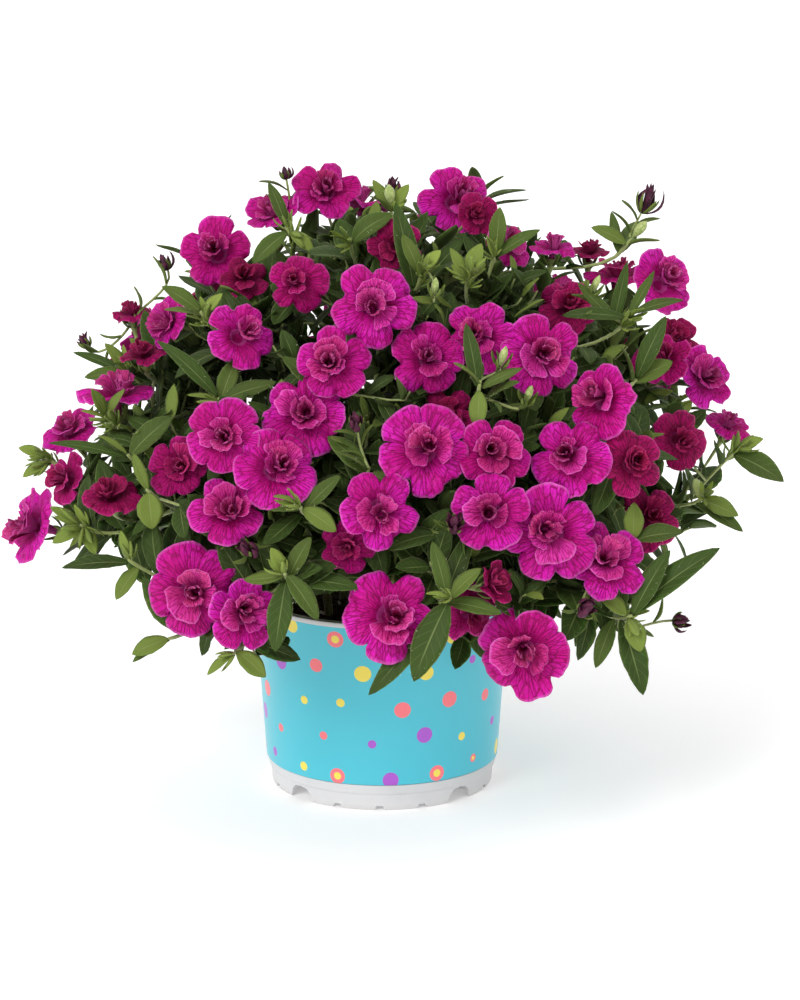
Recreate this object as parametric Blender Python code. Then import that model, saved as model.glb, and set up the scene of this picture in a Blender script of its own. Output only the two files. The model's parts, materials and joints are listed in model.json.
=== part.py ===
"""Calibrachoa with double magenta blooms, grown as one mound in its printed 11 cm nursery pot.

The pot stands on the origin with its axis on +Z. +X is the right of the reference view and -Y its front.
Every length is in millimetres until MM turns it into Blender's metres.
"""

from dataclasses import dataclass
from dataclasses import field
from math import atan2
from math import cos
from math import pi
from math import radians
from math import sin
from math import sqrt
import random

import bmesh
import bpy
from mathutils import Matrix
from mathutils import Vector
from mathutils.bvhtree import BVHTree
from mathutils.geometry import interpolate_bezier

MM = 0.001
CLEARANCE = 0.3

# Pot, from its feet to its rim
POT_HEIGHT = 86.0
POT_FOOT_RADIUS = 49.0
POT_LEDGE_HEIGHT = 7.2
POT_LEDGE_STEP = 0.7
POT_BAND_TOP = 12.0
POT_BAND_RADIUS = 51.4
POT_WALL_RADIUS = 50.6
POT_RIM_RADIUS = 57.6
POT_RIM_DEPTH = 2.2
POT_SHOULDER_RADIUS = 55.4
POT_WALL = 1.6
POT_FLOOR_UNDER = 3.0
POT_FLOOR_TOP = 4.8
POT_BOSS_RADIUS = 14.0
POT_SIDES = 32
POT_FEET = 4
ARCH_WIDTH = 11.0
ARCH_HEIGHT = 6.4
NOTCH_WIDTH = 3.4
NOTCH_HEIGHT = 1.5
NOTCH_STEP = radians(22)
DRAIN_RADIUS = 3.5
DRAIN_RING = 32.0
DRAIN_COUNT = 4
CUT_START = 44.0
CUT_REACH = 8.0
ARCH_SWING = radians(-1)

LABEL_THICKNESS = 0.7
SOIL_EDGE_HEIGHT = 75.5
SOIL_CROWN_HEIGHT = 78.0

# The canopy of blooms is half an egg over a shallow bowl
DOME_CENTRE = Vector((5.0, 0.0, 105.0))
DOME_ACROSS = 150.0
DOME_DEEP = 145.0
DOME_RISE = 158.0
DOME_SAG = 45.0

# Where the plant is looked at from, so that seen pieces can be placed by where they show
VIEW_ELEVATION = radians(13.5)
VIEW_DISTANCE = 1500.0
VIEW_ACROSS = 8.0
VIEW_UP = 123.0
VIEW_AIM = Vector((8.0, 0.0, 127.0))
VIEW_BACK = Vector((0.0, -cos(VIEW_ELEVATION), sin(VIEW_ELEVATION)))
VIEW_RISE = Vector((0.0, sin(VIEW_ELEVATION), cos(VIEW_ELEVATION)))
EYE = VIEW_AIM + VIEW_BACK * VIEW_DISTANCE

# Stems
TRUNKS = 6
TRUNK_RING = 24.0
TRUNK_TURN = radians(15)
TRUNK_RADIUS = 2.3
TRUNK_ROOT_HEIGHT = 56.0
TRUNK_KNEE_HEIGHT = 80.0
TRUNK_TOP_HEIGHT = 92.0
SHOOT_RADIUS = 1.5
TWIG_RADIUS = 1.0
PEDICEL_RADIUS = 0.8
PEDICEL_LONG = 46.0
SOCKET_SHARE = 0.25

# Leaves up the stems
LEAF_STEP = 21.0
LEAFY_SHARE = 0.6
LEAF_PLAIN_WIDTH = 7.5
LEAST_LIFT = 0.25

GOLDEN_ANGLE = pi * (3.0 - sqrt(5.0))
SEED = 41


@dataclass(frozen=True)
class Sight:
    """A bloom as it shows in the reference view.

    across and up are millimetres at the pot's axis, width is the bloom's there, yaw and pitch turn it in
    degrees from facing the eye to the right and up, and deeper is how far behind the dome it lies.
    """

    across: float
    up: float
    width: float
    yaw: float = 0.0
    pitch: float = 0.0
    tone: str = "bright"
    deeper: float = 0.0
    cup: float = 0.0


SEEN_BLOOMS = (
    Sight(63, 55, 43, 0, -12),
    Sight(3, 73, 43, 0, 15),
    Sight(-84, 83, 44, -8, 2),
    Sight(-58, 71, 34, 20, 0),
    Sight(75, 108, 45, 5, 0),
    Sight(-3, 117, 38, 0, 5),
    Sight(100, 96, 37, 10, 15),
    Sight(48, 118, 37, 0, 5),
    Sight(17, 145, 43, -5, 5),
    Sight(50, 144, 36, 5, 5),
    Sight(-68, 119, 36, -5, 20),
    Sight(-47, 137, 39, 5, 15),
    Sight(-34, 161, 40, -5, 10),
    Sight(84, 147, 37, -10, 5),
    Sight(-73, 153, 35, -8, 5),
    Sight(42, 249, 20, 20, 10, "deep", -14),
    Sight(-25, 260, 33, 0, 25),
    Sight(33, 255, 36, 15, 20),
    Sight(-1, 212, 40, 0, 5),
    Sight(70, 187, 39, 8, 5),
    Sight(40, 196, 35, 0, 8, "bright", 6),
    Sight(17, 184, 35, 5, 8),
    Sight(-20, 185, 35, 0, 10),
    Sight(-62, 196, 33, 25, 20),
    Sight(-37, 219, 28, 0, 8, "mid"),
    Sight(-73, 232, 34, -12, 12),
    Sight(-95, 202, 28, -55, 8),
    Sight(-110, 206, 18, -20, 65, "deep"),
    Sight(-117, 171, 35, -15, 70),
    Sight(-138, 154, 27, -35, 40),
    Sight(-154, 112, 36, -65, 5),
    Sight(-139, 132, 25, -50, 10, "mid", 10),
    Sight(-119, 126, 28, -10, 50, "deep"),
    Sight(115, 138, 30, 10, 0, "deep"),
    Sight(131, 150, 28, 20, 5, "deep", 12),
    Sight(93, 172, 35, -40, 5),
    Sight(143, 177, 30, 35, 10),
    Sight(124, 219, 32, 35, 15),
    Sight(103, 223, 29, 10, 70, "mid", 10),
    Sight(6, 235, 26, 0, 15, "deep", 8),
    Sight(59, 233, 24, 40, 30),
    Sight(75, 235, 22, 10, 68, "bright", 12),
    Sight(91, 233, 20, 10, 68, "deep", 20),
    Sight(153, 157, 23, 50, 50, "bright", 10),
    Sight(49, 86, 21, 60, 10, "deep", 6, 0.35),
    Sight(-53, 249, 26, -35, 40, "bright", 20),
    Sight(-58, 219, 24, 10, 25, "deep", 22),
    Sight(-108, 184, 22, -20, 60, "deep", 22),
    Sight(-90, 138, 29, -15, 10, "mid", 16),
    Sight(-16, 102, 26, -10, -15, "mid", 20),
    Sight(39, 73, 29, 20, -25, "mid", 22),
    Sight(117, 115, 31, 15, 5, "deep", 22),
    Sight(29, 161, 26, 0, 10, "deep", 22),
    Sight(82, 208, 27, 0, 20, "deep", 20),
    Sight(127, 196, 26, 20, 20, "deep", 20),
    Sight(123, 185, 29, -25, 30, "mid", 26),
)

# How far a bloom is moved inwards to be clear of the others
CLEAR_STEPS = (0, 3, 6, 9, 12, 15, 18, 21, 24, -3, -6, -9, 27, 30, 33, -12, -15, 36, 40)

# Neighbours are then pressed rim to rim till the blooms make this many clusters
BLOOM_NODES = 51
CLUSTER_LIMIT = 4
PRESS_REACH = 18.0
PRESS_LEAST = 0.68
ASIDE_SEEN = 5.0
ASIDE_HIDDEN = 16.0

# Size and spread of the blooms and the leafy tips that the reference view hides
HIDDEN_SITES = 140
HIDDEN_SPACING = 34.0
HIDDEN_LOWEST = 90.0
HIDDEN_LIMIT = 20
HIDDEN_RADIUS = 16.5
HIDDEN_TIP_SITES = 60
HIDDEN_TIP_SPACING = 46.0
HIDDEN_TIP_LIMIT = 11
HIDDEN_TIP_LEAVES = 4


@dataclass(frozen=True)
class Tip:
    """A leafy side shoot's end as it shows in the reference view, with the ends of its long leaves.

    Each leaf is (across, up, width); out is how far past the dome the end stands; young counts the short
    narrow leaves round it, and bud says whether a furled bud tops it.
    """

    across: float
    up: float
    out: float
    leaves: tuple = ()
    young: int = 0
    bud: bool = False


SEEN_TIPS = (
    Tip(110, 72, 1.02, ((95, 82, 8), (103, 94, 8), (127, 101, 10), (149, 102, 12), (114, 56, 10),
                        (115, 37, 12), (94, 49, 8), (72, 84, 9)), 2),
    Tip(112, 106, 1.0, ((133, 109, 10), (111, 122, 9))),
    Tip(142, 124, 1.0, ((157, 116, 10), (159, 109, 8), (137, 134, 8))),
    Tip(156, 145, 1.0, ((177, 131, 14), (168, 150, 6)), 2),
    Tip(-112, 180, 1.0, ((-131, 177, 7), (-122, 192, 6), (-136, 188, 5)), 3),
    Tip(-72, 168, 0.97, ((-99, 193, 8), (-46, 175, 9), (-64, 185, 9))),
    Tip(-27, 172, 0.97, ((-44, 186, 9),)),
    Tip(-80, 206, 1.04, ((-97, 217, 8), (-70, 214, 6)), 3),
    Tip(-42, 243, 1.02, ((-57, 227, 9), (-50, 263, 6), (-30, 232, 7)), 2),
    Tip(-14, 238, 0.98, ((5, 249, 10),)),
    Tip(4, 252, 1.02, ((-4, 264, 6), (12, 262, 6)), 0, True),
    Tip(18, 224, 1.0, ((9, 240, 7), (6, 254, 10), (26, 233, 6)), 2),
    Tip(38, 222, 1.0, ((44, 236, 8), (30, 234, 6)), 2),
    Tip(50, 232, 1.0, ((52, 252, 8), (70, 242, 7)), 2),
    Tip(110, 238, 1.06, ((92, 243, 8), (101, 250, 5)), 0, True),
    Tip(124, 226, 1.0, ((131, 240, 6), (138, 232, 6))),
    Tip(110, 205, 1.08, ((79, 204, 7), (86, 219, 6), (133, 211, 6), (108, 228, 6), (120, 224, 5)), 3),
    Tip(112, 176, 1.02, ((125, 204, 9), (128, 184, 10))),
    Tip(43, 174, 1.02, ((37, 201, 7), (42, 154, 8), (62, 181, 6))),
    Tip(30, 80, 1.04, ((22, 105, 8), (39, 109, 9), (44, 93, 8), (53, 73, 8), (14, 43, 14),
                       (-6, 37, 11), (24, 56, 8)), 2),
    Tip(-43, 91, 1.04, ((-28, 70, 9), (-31, 107, 8), (-61, 88, 7), (-47, 56, 11), (-49, 102, 7),
                        (-9, 84, 10)), 2),
    Tip(-6, 136, 0.98, ((-24, 151, 11), (12, 124, 8))),
    Tip(-36, 120, 1.0, ((-56, 121, 7), (-20, 109, 9), (-18, 134, 7))),
    Tip(-112, 143, 1.0, ((-92, 160, 11), (-147, 148, 5)), 0),
    Tip(-122, 160, 1.03, ((-128, 172, 6), (-113, 172, 5)), 3),
    Tip(-104, 128, 1.0, ((-101, 110, 12),)),
    Tip(-133, 112, 1.0, ((-146, 120, 6), (-145, 104, 7), (-126, 99, 7)), 2),
    Tip(-112, 97, 1.0, ((-141, 93, 8), (-117, 79, 8))),
    Tip(-94, 62, 1.02, ((-110, 55, 9),)),
    Tip(-66, 55, 1.02, ((-51, 45, 9),)),
    Tip(-148, 142, 1.0, ((-160, 146, 6), (-158, 133, 6)), 2),
)


class Shell:
    """A closed surface of triangles, its corners in millimetres."""

    def __init__(self, corners, faces):
        self.corners = corners
        self.faces = faces
        self.low = Vector(min(point[axis] for point in corners) for axis in range(3))
        self.high = Vector(max(point[axis] for point in corners) for axis in range(3))

    def tree(self):
        """The shell in the form that is quick to test for crossings."""
        return BVHTree.FromPolygons(self.corners, self.faces)

    def swollen(self, distance):
        """The shell with every corner moved outwards by a distance."""
        normals = [Vector() for _ in self.corners]
        for face in self.faces:
            first, second, third = (self.corners[index] for index in face)
            normal = (second - first).cross(third - first).normalized()
            for index in face:
                normals[index] += normal
        moved = [point + normal.normalized() * distance for point, normal in zip(self.corners, normals)]
        return Shell(moved, self.faces)


def band(lower, upper):
    """Triangles between two rings of corners that turn the same way round, facing out of the tube they make.

    A ring is a list of (corner number, turn), its turns growing along it by less than one in all.
    """
    faces = []
    i = 0
    j = 0
    while i < len(lower) or j < len(upper):
        low_index, low_turn = lower[(i + 1) % len(lower)]
        high_index, high_turn = upper[(j + 1) % len(upper)]
        low_turn += (i + 1) // len(lower)
        high_turn += (j + 1) // len(upper)
        if j == len(upper) or (i < len(lower) and low_turn <= high_turn):
            faces.append((lower[i][0], low_index, upper[j % len(upper)][0]))
            i += 1
        else:
            faces.append((lower[i % len(lower)][0], high_index, upper[j][0]))
            j += 1
    return faces


def fan(ring, apex):
    """Triangles from each side of a ring of corner numbers to one apex, on the side the ring turns to."""
    return [(ring[i], ring[(i + 1) % len(ring)], apex) for i in range(len(ring))]


def across_of(direction):
    """Any direction square to the given one."""
    steady = Vector((0, 0, 1)) if abs(direction.z) < 0.9 else Vector((0, 1, 0))
    return direction.cross(steady).normalized()


def curve(start, start_pull, end_pull, end, count):
    """Points along a smooth curve that leaves start by start_pull and reaches end from end_pull."""
    return interpolate_bezier(start, start_pull, end_pull, end, count + 1)


@dataclass(eq=False)
class Bloom:
    """One double bloom: five broad outer lobes, a second crown inside, and the tube behind."""

    centre: Vector
    facing: Vector
    radius: float
    spin: float
    cup: float
    waves: tuple
    tone: str

    TUBE = 0.80
    LOBE_HALF = radians(19)
    STEP = radians(72)

    def axes(self):
        """The bloom's own X and Y, square to the way it faces, turned by its spin."""
        side = across_of(self.facing)
        other = self.facing.cross(side)
        first = side * cos(self.spin) + other * sin(self.spin)
        return first, self.facing.cross(first)

    def spot(self, turn, reach, height):
        """A point given round, out from and along the bloom's axis, as shares of its radius."""
        first, second = self.axes()
        out = first * cos(turn) + second * sin(turn)
        return self.centre + (out * reach + self.facing * height) * self.radius

    def behind(self, distance):
        """The point on the axis a distance in millimetres behind the tube's end."""
        return self.centre - self.facing * (self.radius * self.TUBE + distance)

    def shell(self):
        """The bloom as one thin closed surface."""
        corners = []
        rim = []
        throat = []
        under = []
        crown = []
        for k in range(5):
            turn = k * self.STEP
            gap = turn + self.STEP / 2
            wave = self.waves[k]
            for angle, reach, height in (
                (turn - self.LOBE_HALF, 1.0, self.cup + wave),
                (turn + self.LOBE_HALF, 1.0, self.cup - wave * 0.6),
                (gap, 0.74, self.cup * 0.6 - 0.03),
            ):
                rim.append((len(corners), angle / (2 * pi)))
                corners.append(self.spot(angle, reach, height))
        for k in range(5):
            gap = k * self.STEP - self.STEP / 2
            throat.append((len(corners), gap / (2 * pi) + 0.001))
            corners.append(self.spot(gap, 0.30, -0.12))
        for k in range(5):
            gap = k * self.STEP - self.STEP / 2
            under.append((len(corners), gap / (2 * pi) + 0.001))
            corners.append(self.spot(gap, 0.17, -0.34))
        for k in range(5):
            gap = k * self.STEP - self.STEP / 2
            crown.append((len(corners), gap / (2 * pi)))
            corners.append(self.spot(gap, 0.60, 0.20 + self.waves[k] * 0.5))
            crown.append((len(corners), (gap + self.STEP / 2) / (2 * pi)))
            corners.append(self.spot(gap + self.STEP / 2, 0.42, 0.08))
        heart = len(corners)
        corners.append(self.spot(0.0, 0.0, 0.14))
        foot = len(corners)
        corners.append(self.behind(0.0))
        faces = band(rim, throat) + band(under, rim) + band(throat, crown)
        faces += fan([index for index, _ in crown], heart)
        faces += fan([index for index, _ in reversed(under)], foot)
        return Shell(corners, faces)


def tube(path, radii, sides, end_side):
    """Corners and rings of a tube along a path, its sides lined up with end_side at the far end."""
    directions = []
    for i in range(len(path)):
        before = path[max(i - 1, 0)]
        after = path[min(i + 1, len(path) - 1)]
        directions.append((after - before).normalized())
    side = end_side
    sides_back = []
    for direction in reversed(directions):
        side = (side - direction * side.dot(direction)).normalized()
        sides_back.append(side)
    corners = []
    rings = []
    for point, radius, direction, first in zip(path, radii, directions, reversed(sides_back)):
        second = direction.cross(first)
        rings.append([(len(corners) + k, k / sides) for k in range(sides)])
        for k in range(sides):
            turn = 2 * pi * k / sides
            corners.append(point + (first * cos(turn) + second * sin(turn)) * radius)
    return corners, rings


def numbers_of(ring):
    """A ring's corner numbers without their turns."""
    return [index for index, _ in ring]


def centre_of(points):
    """The middle of some points."""
    return sum(points, Vector()) / len(points)


def turned_like(ring, model):
    """The three points of a ring in the order that twists least towards the model's three."""
    ring_centre = centre_of(ring)
    model_centre = centre_of(model)

    def match(shift):
        return sum((ring[(i + shift) % 3] - ring_centre).dot(model[i] - model_centre) for i in range(3))

    shift = max(range(3), key=match)
    return [ring[(i + shift) % 3] for i in range(3)]


@dataclass(eq=False)
class Socket:
    """A triangle of a stem's side that something can grow from."""

    stem: object
    face: int
    share: float
    middle: Vector
    normal: Vector
    up: Vector
    room: float

    def ring(self, half, depth):
        """The three corners that a piece grows from, two across the stem and one below them."""
        left = self.normal.cross(self.up)
        half = min(half, self.room)
        return [self.middle + left * half, self.middle - self.up * depth, self.middle - left * half]


class Piece:
    """Anything green. Its first three corners are the ring it grows from and its first face caps them."""

    def shell(self):
        """The piece alone, as a closed surface."""
        corners, faces = self.surface()
        return Shell(corners, faces)

    def skin(self, corners, faces, roots=None):
        """Add the piece and all it bears to a surface; roots are the corner numbers it grows from."""
        own_corners, own_faces = self.surface()
        numbers = list(roots or [])
        for point in own_corners[len(numbers):]:
            numbers.append(len(corners))
            corners.append(point)
        for place, face in enumerate(own_faces):
            if place == 0 and roots:
                continue
            mapped = [numbers[index] for index in face]
            child = self.bears.get(place)
            if child:
                child_roots = [len(corners) + k for k in range(3)]
                corners += child.surface()[0][:3]
                faces += collar(corners, mapped, child_roots)
                child.skin(corners, faces, child_roots)
            else:
                faces.append(tuple(mapped))


def collar(corners, outer, inner):
    """Triangles between a stem's facet and the smaller ring inside it."""
    centre = centre_of([corners[index] for index in inner])
    first, second, third = (corners[index] for index in outer)
    normal = (second - first).cross(third - first).normalized()
    side = (first - centre).normalized()
    other = normal.cross(side)

    def with_turns(ring):
        turned = []
        for index in ring:
            offset = corners[index] - centre
            turned.append(((atan2(offset.dot(other), offset.dot(side)) / (2 * pi)) % 1.0, index))
        return [(index, turn) for turn, index in sorted(turned)]

    return band(with_turns(outer), with_turns(inner))


@dataclass(eq=False)
class Stem(Piece):
    """A stem along a smooth path, thinner towards its end."""

    path: list
    thick: float
    thin: float
    sides: int
    trunk: int
    start: list = None
    bears: dict = field(default_factory=dict)

    def at(self, share):
        """The point and the direction a share of the way along."""
        place = share * (len(self.path) - 1)
        index = min(int(place), len(self.path) - 2)
        start = self.path[index]
        end = self.path[index + 1]
        return start.lerp(end, place - index), (end - start).normalized()

    def radii(self):
        """The radius at each point of the path."""
        last = len(self.path) - 1
        return [self.thick + (self.thin - self.thick) * i / last for i in range(last + 1)]

    def rings(self, end_side):
        """The tube's corners and rings, the first ring being the one it grows from, if it has one."""
        corners, rings = tube(self.path, self.radii(), self.sides, end_side)
        if self.start:
            corners[:3] = turned_like(self.start, corners[3:6])
        return corners, rings

    def surface(self):
        """Corners and faces, the last face capping the end."""
        corners, rings = self.rings(across_of((self.path[-1] - self.path[-2]).normalized()))
        first = numbers_of(rings[0])
        last = numbers_of(rings[-1])
        faces = [(first[0], first[i + 1], first[i]) for i in range(1, self.sides - 1)]
        for lower, upper in zip(rings, rings[1:]):
            faces += band(lower, upper)
        faces += [(last[0], last[i], last[i + 1]) for i in range(1, self.sides - 1)]
        return corners, faces

    def sockets(self):
        """The free places on a three-sided stem, on all but its first stretch, and its end."""
        corners, faces = self.surface()
        stretches = len(self.path) - 1
        found = []
        for place in range(7, len(faces)):
            if place in self.bears:
                continue
            a, b, c = (corners[index] for index in faces[place])
            normal = (b - a).cross(c - a).normalized()
            stretch, side = divmod(place - 1, 6)
            if place == len(faces) - 1:
                up = across_of(normal)
                found.append(Socket(self, place, 1.0, centre_of((a, b, c)), normal, up, self.thin * 0.45))
                continue
            wide_low = side % 2 == 0
            wide = (a, b) if wide_low else (b, c)
            point = c if wide_low else a
            edge = (wide[0] + wide[1]) / 2
            middle = edge.lerp(point, SOCKET_SHARE)
            up = (point - edge).normalized() * (1 if wide_low else -1)
            room = (wide[1] - wide[0]).length / 2 * (1 - SOCKET_SHARE) * 0.85
            along = SOCKET_SHARE if wide_low else 1 - SOCKET_SHARE
            found.append(Socket(self, place, (stretch + along) / stretches, middle, normal, up, room))
        return found


@dataclass(eq=False)
class Pedicel(Stem):
    """A bloom's thin stalk, opening into the calyx that cups the bloom's tube."""

    bloom: Bloom = None

    CALYX_START = 2.6
    CALYX_REACH = 4.5
    CALYX_RADIUS = 3.3
    CALYX_BED = 0.6

    def surface(self):
        """The stalk with its five-pointed calyx."""
        end_side, _ = self.bloom.axes()
        corners, rings = self.rings(end_side)
        first = numbers_of(rings[0])
        faces = [(first[0], first[2], first[1])]
        for lower, upper in zip(rings, rings[1:]):
            faces += band(lower, upper)
        reach = self.CALYX_RADIUS / self.bloom.radius
        height = self.CALYX_REACH / self.bloom.radius - self.bloom.TUBE
        calyx = []
        for k in range(5):
            turn = (k + 0.5) * self.bloom.STEP
            calyx.append((len(corners), turn / (2 * pi)))
            corners.append(self.bloom.spot(turn, reach, height))
        faces += band(rings[-1], calyx)
        bed = len(corners)
        corners.append(self.bloom.behind(self.CALYX_BED))
        faces += fan(numbers_of(calyx), bed)
        return corners, faces


@dataclass(eq=False)
class Leaf(Piece):
    """A blade with a keel under its midrib."""

    root: Vector
    tip: Vector
    face: Vector
    width: float
    arch: float
    trunk: int
    start: list
    bears: dict = field(default_factory=dict)

    def frame(self):
        """The blade's length, its direction, its side and the way its upper face looks."""
        along = self.tip - self.root
        direction = along.normalized()
        side = direction.cross(self.face).normalized()
        return along.length, direction, side, side.cross(direction)

    def section(self, share, half, keel):
        """The left edge, the keel and the right edge of the blade's section a share of the way along."""
        length, direction, side, face = self.frame()
        rise = self.arch * length * 4 * share * (1 - share)
        middle = self.root + direction * (length * share) + face * rise
        return [middle + side * half, middle - face * keel, middle - side * half]

    def stations(self):
        """Share, half width and keel depth of each section of the blade beyond its root."""
        half = self.width / 2
        if self.width < LEAF_PLAIN_WIDTH:
            return ((0.5, half, 0.9),)
        return ((0.36, half, 1.0), (0.72, half * 0.78, 0.9))

    def surface(self):
        """Corners and faces of the blade."""
        sections = [self.section(*station) for station in self.stations()]
        corners = turned_like(self.start, sections[0])
        rings = [[(0, 0.0), (1, 1 / 3), (2, 2 / 3)]]
        for section in sections:
            rings.append([(len(corners) + k, k / 3) for k in range(3)])
            corners += section
        faces = [(0, 2, 1)]
        for lower, upper in zip(rings, rings[1:]):
            faces += band(lower, upper)
        corners.append(self.tip.copy())
        faces += fan(numbers_of(rings[-1]), len(corners) - 1)
        return corners, faces


@dataclass(eq=False)
class Bud(Piece):
    """A furled bud on the end of a stem."""

    root: Vector
    direction: Vector
    length: float
    radius: float
    trunk: int
    start: list
    bears: dict = field(default_factory=dict)

    def surface(self):
        """Three flat sides that swell from the root and close in a point."""
        swell = self.root + self.direction * (self.length * 0.45)
        side = across_of(self.direction)
        other = self.direction.cross(side)
        ring = [swell + (side * cos(turn) + other * sin(turn)) * self.radius
                for turn in (0.0, 2 * pi / 3, 4 * pi / 3)]
        corners = turned_like(self.start, ring) + ring + [self.root + self.direction * self.length]
        faces = [(0, 2, 1)] + band([(0, 0.0), (1, 1 / 3), (2, 2 / 3)], [(3, 0.0), (4, 1 / 3), (5, 2 / 3)])
        return corners, faces + fan([3, 4, 5], 6)


@dataclass
class Placed:
    """A piece that stands in the thicket: what it is, and its surface ready for tests."""

    item: object
    shell: Shell
    tree: BVHTree


class Thicket:
    """Everything placed so far, so that new pieces can keep clear of it."""

    def __init__(self):
        self.placed = []

    def add(self, item, shell):
        """Put a piece in its place."""
        self.placed.append(Placed(item, shell, shell.tree()))

    def move(self, item, shell):
        """Give a placed piece its new surface."""
        for number, piece in enumerate(self.placed):
            if piece.item is item:
                self.placed[number] = Placed(item, shell, shell.tree())

    def crossed(self, shell, passes=None):
        """The items that a shell crosses, leaving out those for which passes is true."""
        tree = None
        found = []
        low = shell.low
        high = shell.high
        for piece in self.placed:
            other_low = piece.shell.low
            other_high = piece.shell.high
            if low.x > other_high.x or high.x < other_low.x:
                continue
            if low.y > other_high.y or high.y < other_low.y:
                continue
            if low.z > other_high.z or high.z < other_low.z:
                continue
            if passes and passes(piece.item):
                continue
            tree = tree or shell.tree()
            if tree.overlap(piece.tree):
                found.append(piece.item)
        return found


def bulge(point):
    """How far out a point lies: 1 on the canopy's dome, less inside it."""
    offset = point - DOME_CENTRE
    rise = DOME_RISE if offset.z > 0 else DOME_SAG
    return sqrt((offset.x / DOME_ACROSS) ** 2 + (offset.y / DOME_DEEP) ** 2 + (offset.z / rise) ** 2)


def outward(point):
    """The unit normal of the dome through a point."""
    offset = point - DOME_CENTRE
    rise = DOME_RISE if offset.z > 0 else DOME_SAG
    normal = Vector((offset.x / DOME_ACROSS ** 2, offset.y / DOME_DEEP ** 2, offset.z / rise ** 2))
    return normal.normalized()


def sight_line(across, up):
    """The direction from the eye through a place in the reference view."""
    aimed = VIEW_AIM + Vector((across - VIEW_ACROSS, 0, 0)) + VIEW_RISE * (up - VIEW_UP)
    return (aimed - EYE).normalized()


def meet_dome(across, up, out=1.0):
    """Where a line of sight meets the dome swelled to out, or passes it by most closely."""
    line = sight_line(across, up)
    best = None
    reach = VIEW_DISTANCE - 190.0
    while reach < VIEW_DISTANCE + 120.0:
        point = EYE + line * reach
        share = bulge(point)
        if share <= out:
            return point
        if best is None or share < bulge(best):
            best = point
        reach += 1.5
    return best


def at_depth_of(anchor, across, up, lean):
    """The place on a line of sight that lies lean millimetres nearer the eye than the anchor does."""
    line = sight_line(across, up)
    depth = (EYE - anchor).dot(VIEW_BACK) - lean
    return EYE + line * (depth / -line.dot(VIEW_BACK))


def hidden_sites(count, turned):
    """Evenly spaced places on the parts of the dome that face away from the eye, from the top down."""
    for i in range(count):
        rise = 1.0 - 1.4 * (i + 0.5) / count
        turn = i * GOLDEN_ANGLE
        level = sqrt(1.0 - rise * rise)
        height = rise * (DOME_RISE if rise > 0 else DOME_SAG)
        site = DOME_CENTRE + Vector((DOME_ACROSS * level * cos(turn), DOME_DEEP * level * sin(turn), height))
        if outward(site).dot(VIEW_BACK) < -turned and site.z > HIDDEN_LOWEST:
            yield site


def facing_of(yaw, pitch):
    """A unit direction turned by yaw and pitch, in degrees, from facing the eye."""
    lift = VIEW_ELEVATION + radians(pitch)
    turn = radians(yaw)
    return Vector((cos(lift) * sin(turn), -cos(lift) * cos(turn), sin(lift)))


def lathe_shell(profile, sides):
    """A ring with the given (radius, height) outline, run so that its faces look out."""
    corners = []
    rings = []
    for radius, height in profile:
        rings.append([(len(corners) + k, k / sides) for k in range(sides)])
        for k in range(sides):
            turn = 2 * pi * k / sides
            corners.append(Vector((radius * cos(turn), radius * sin(turn), height)))
    faces = []
    for lower, upper in zip(rings, rings[1:] + rings[:1]):
        faces += band(lower, upper)
    return Shell(corners, faces)


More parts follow.
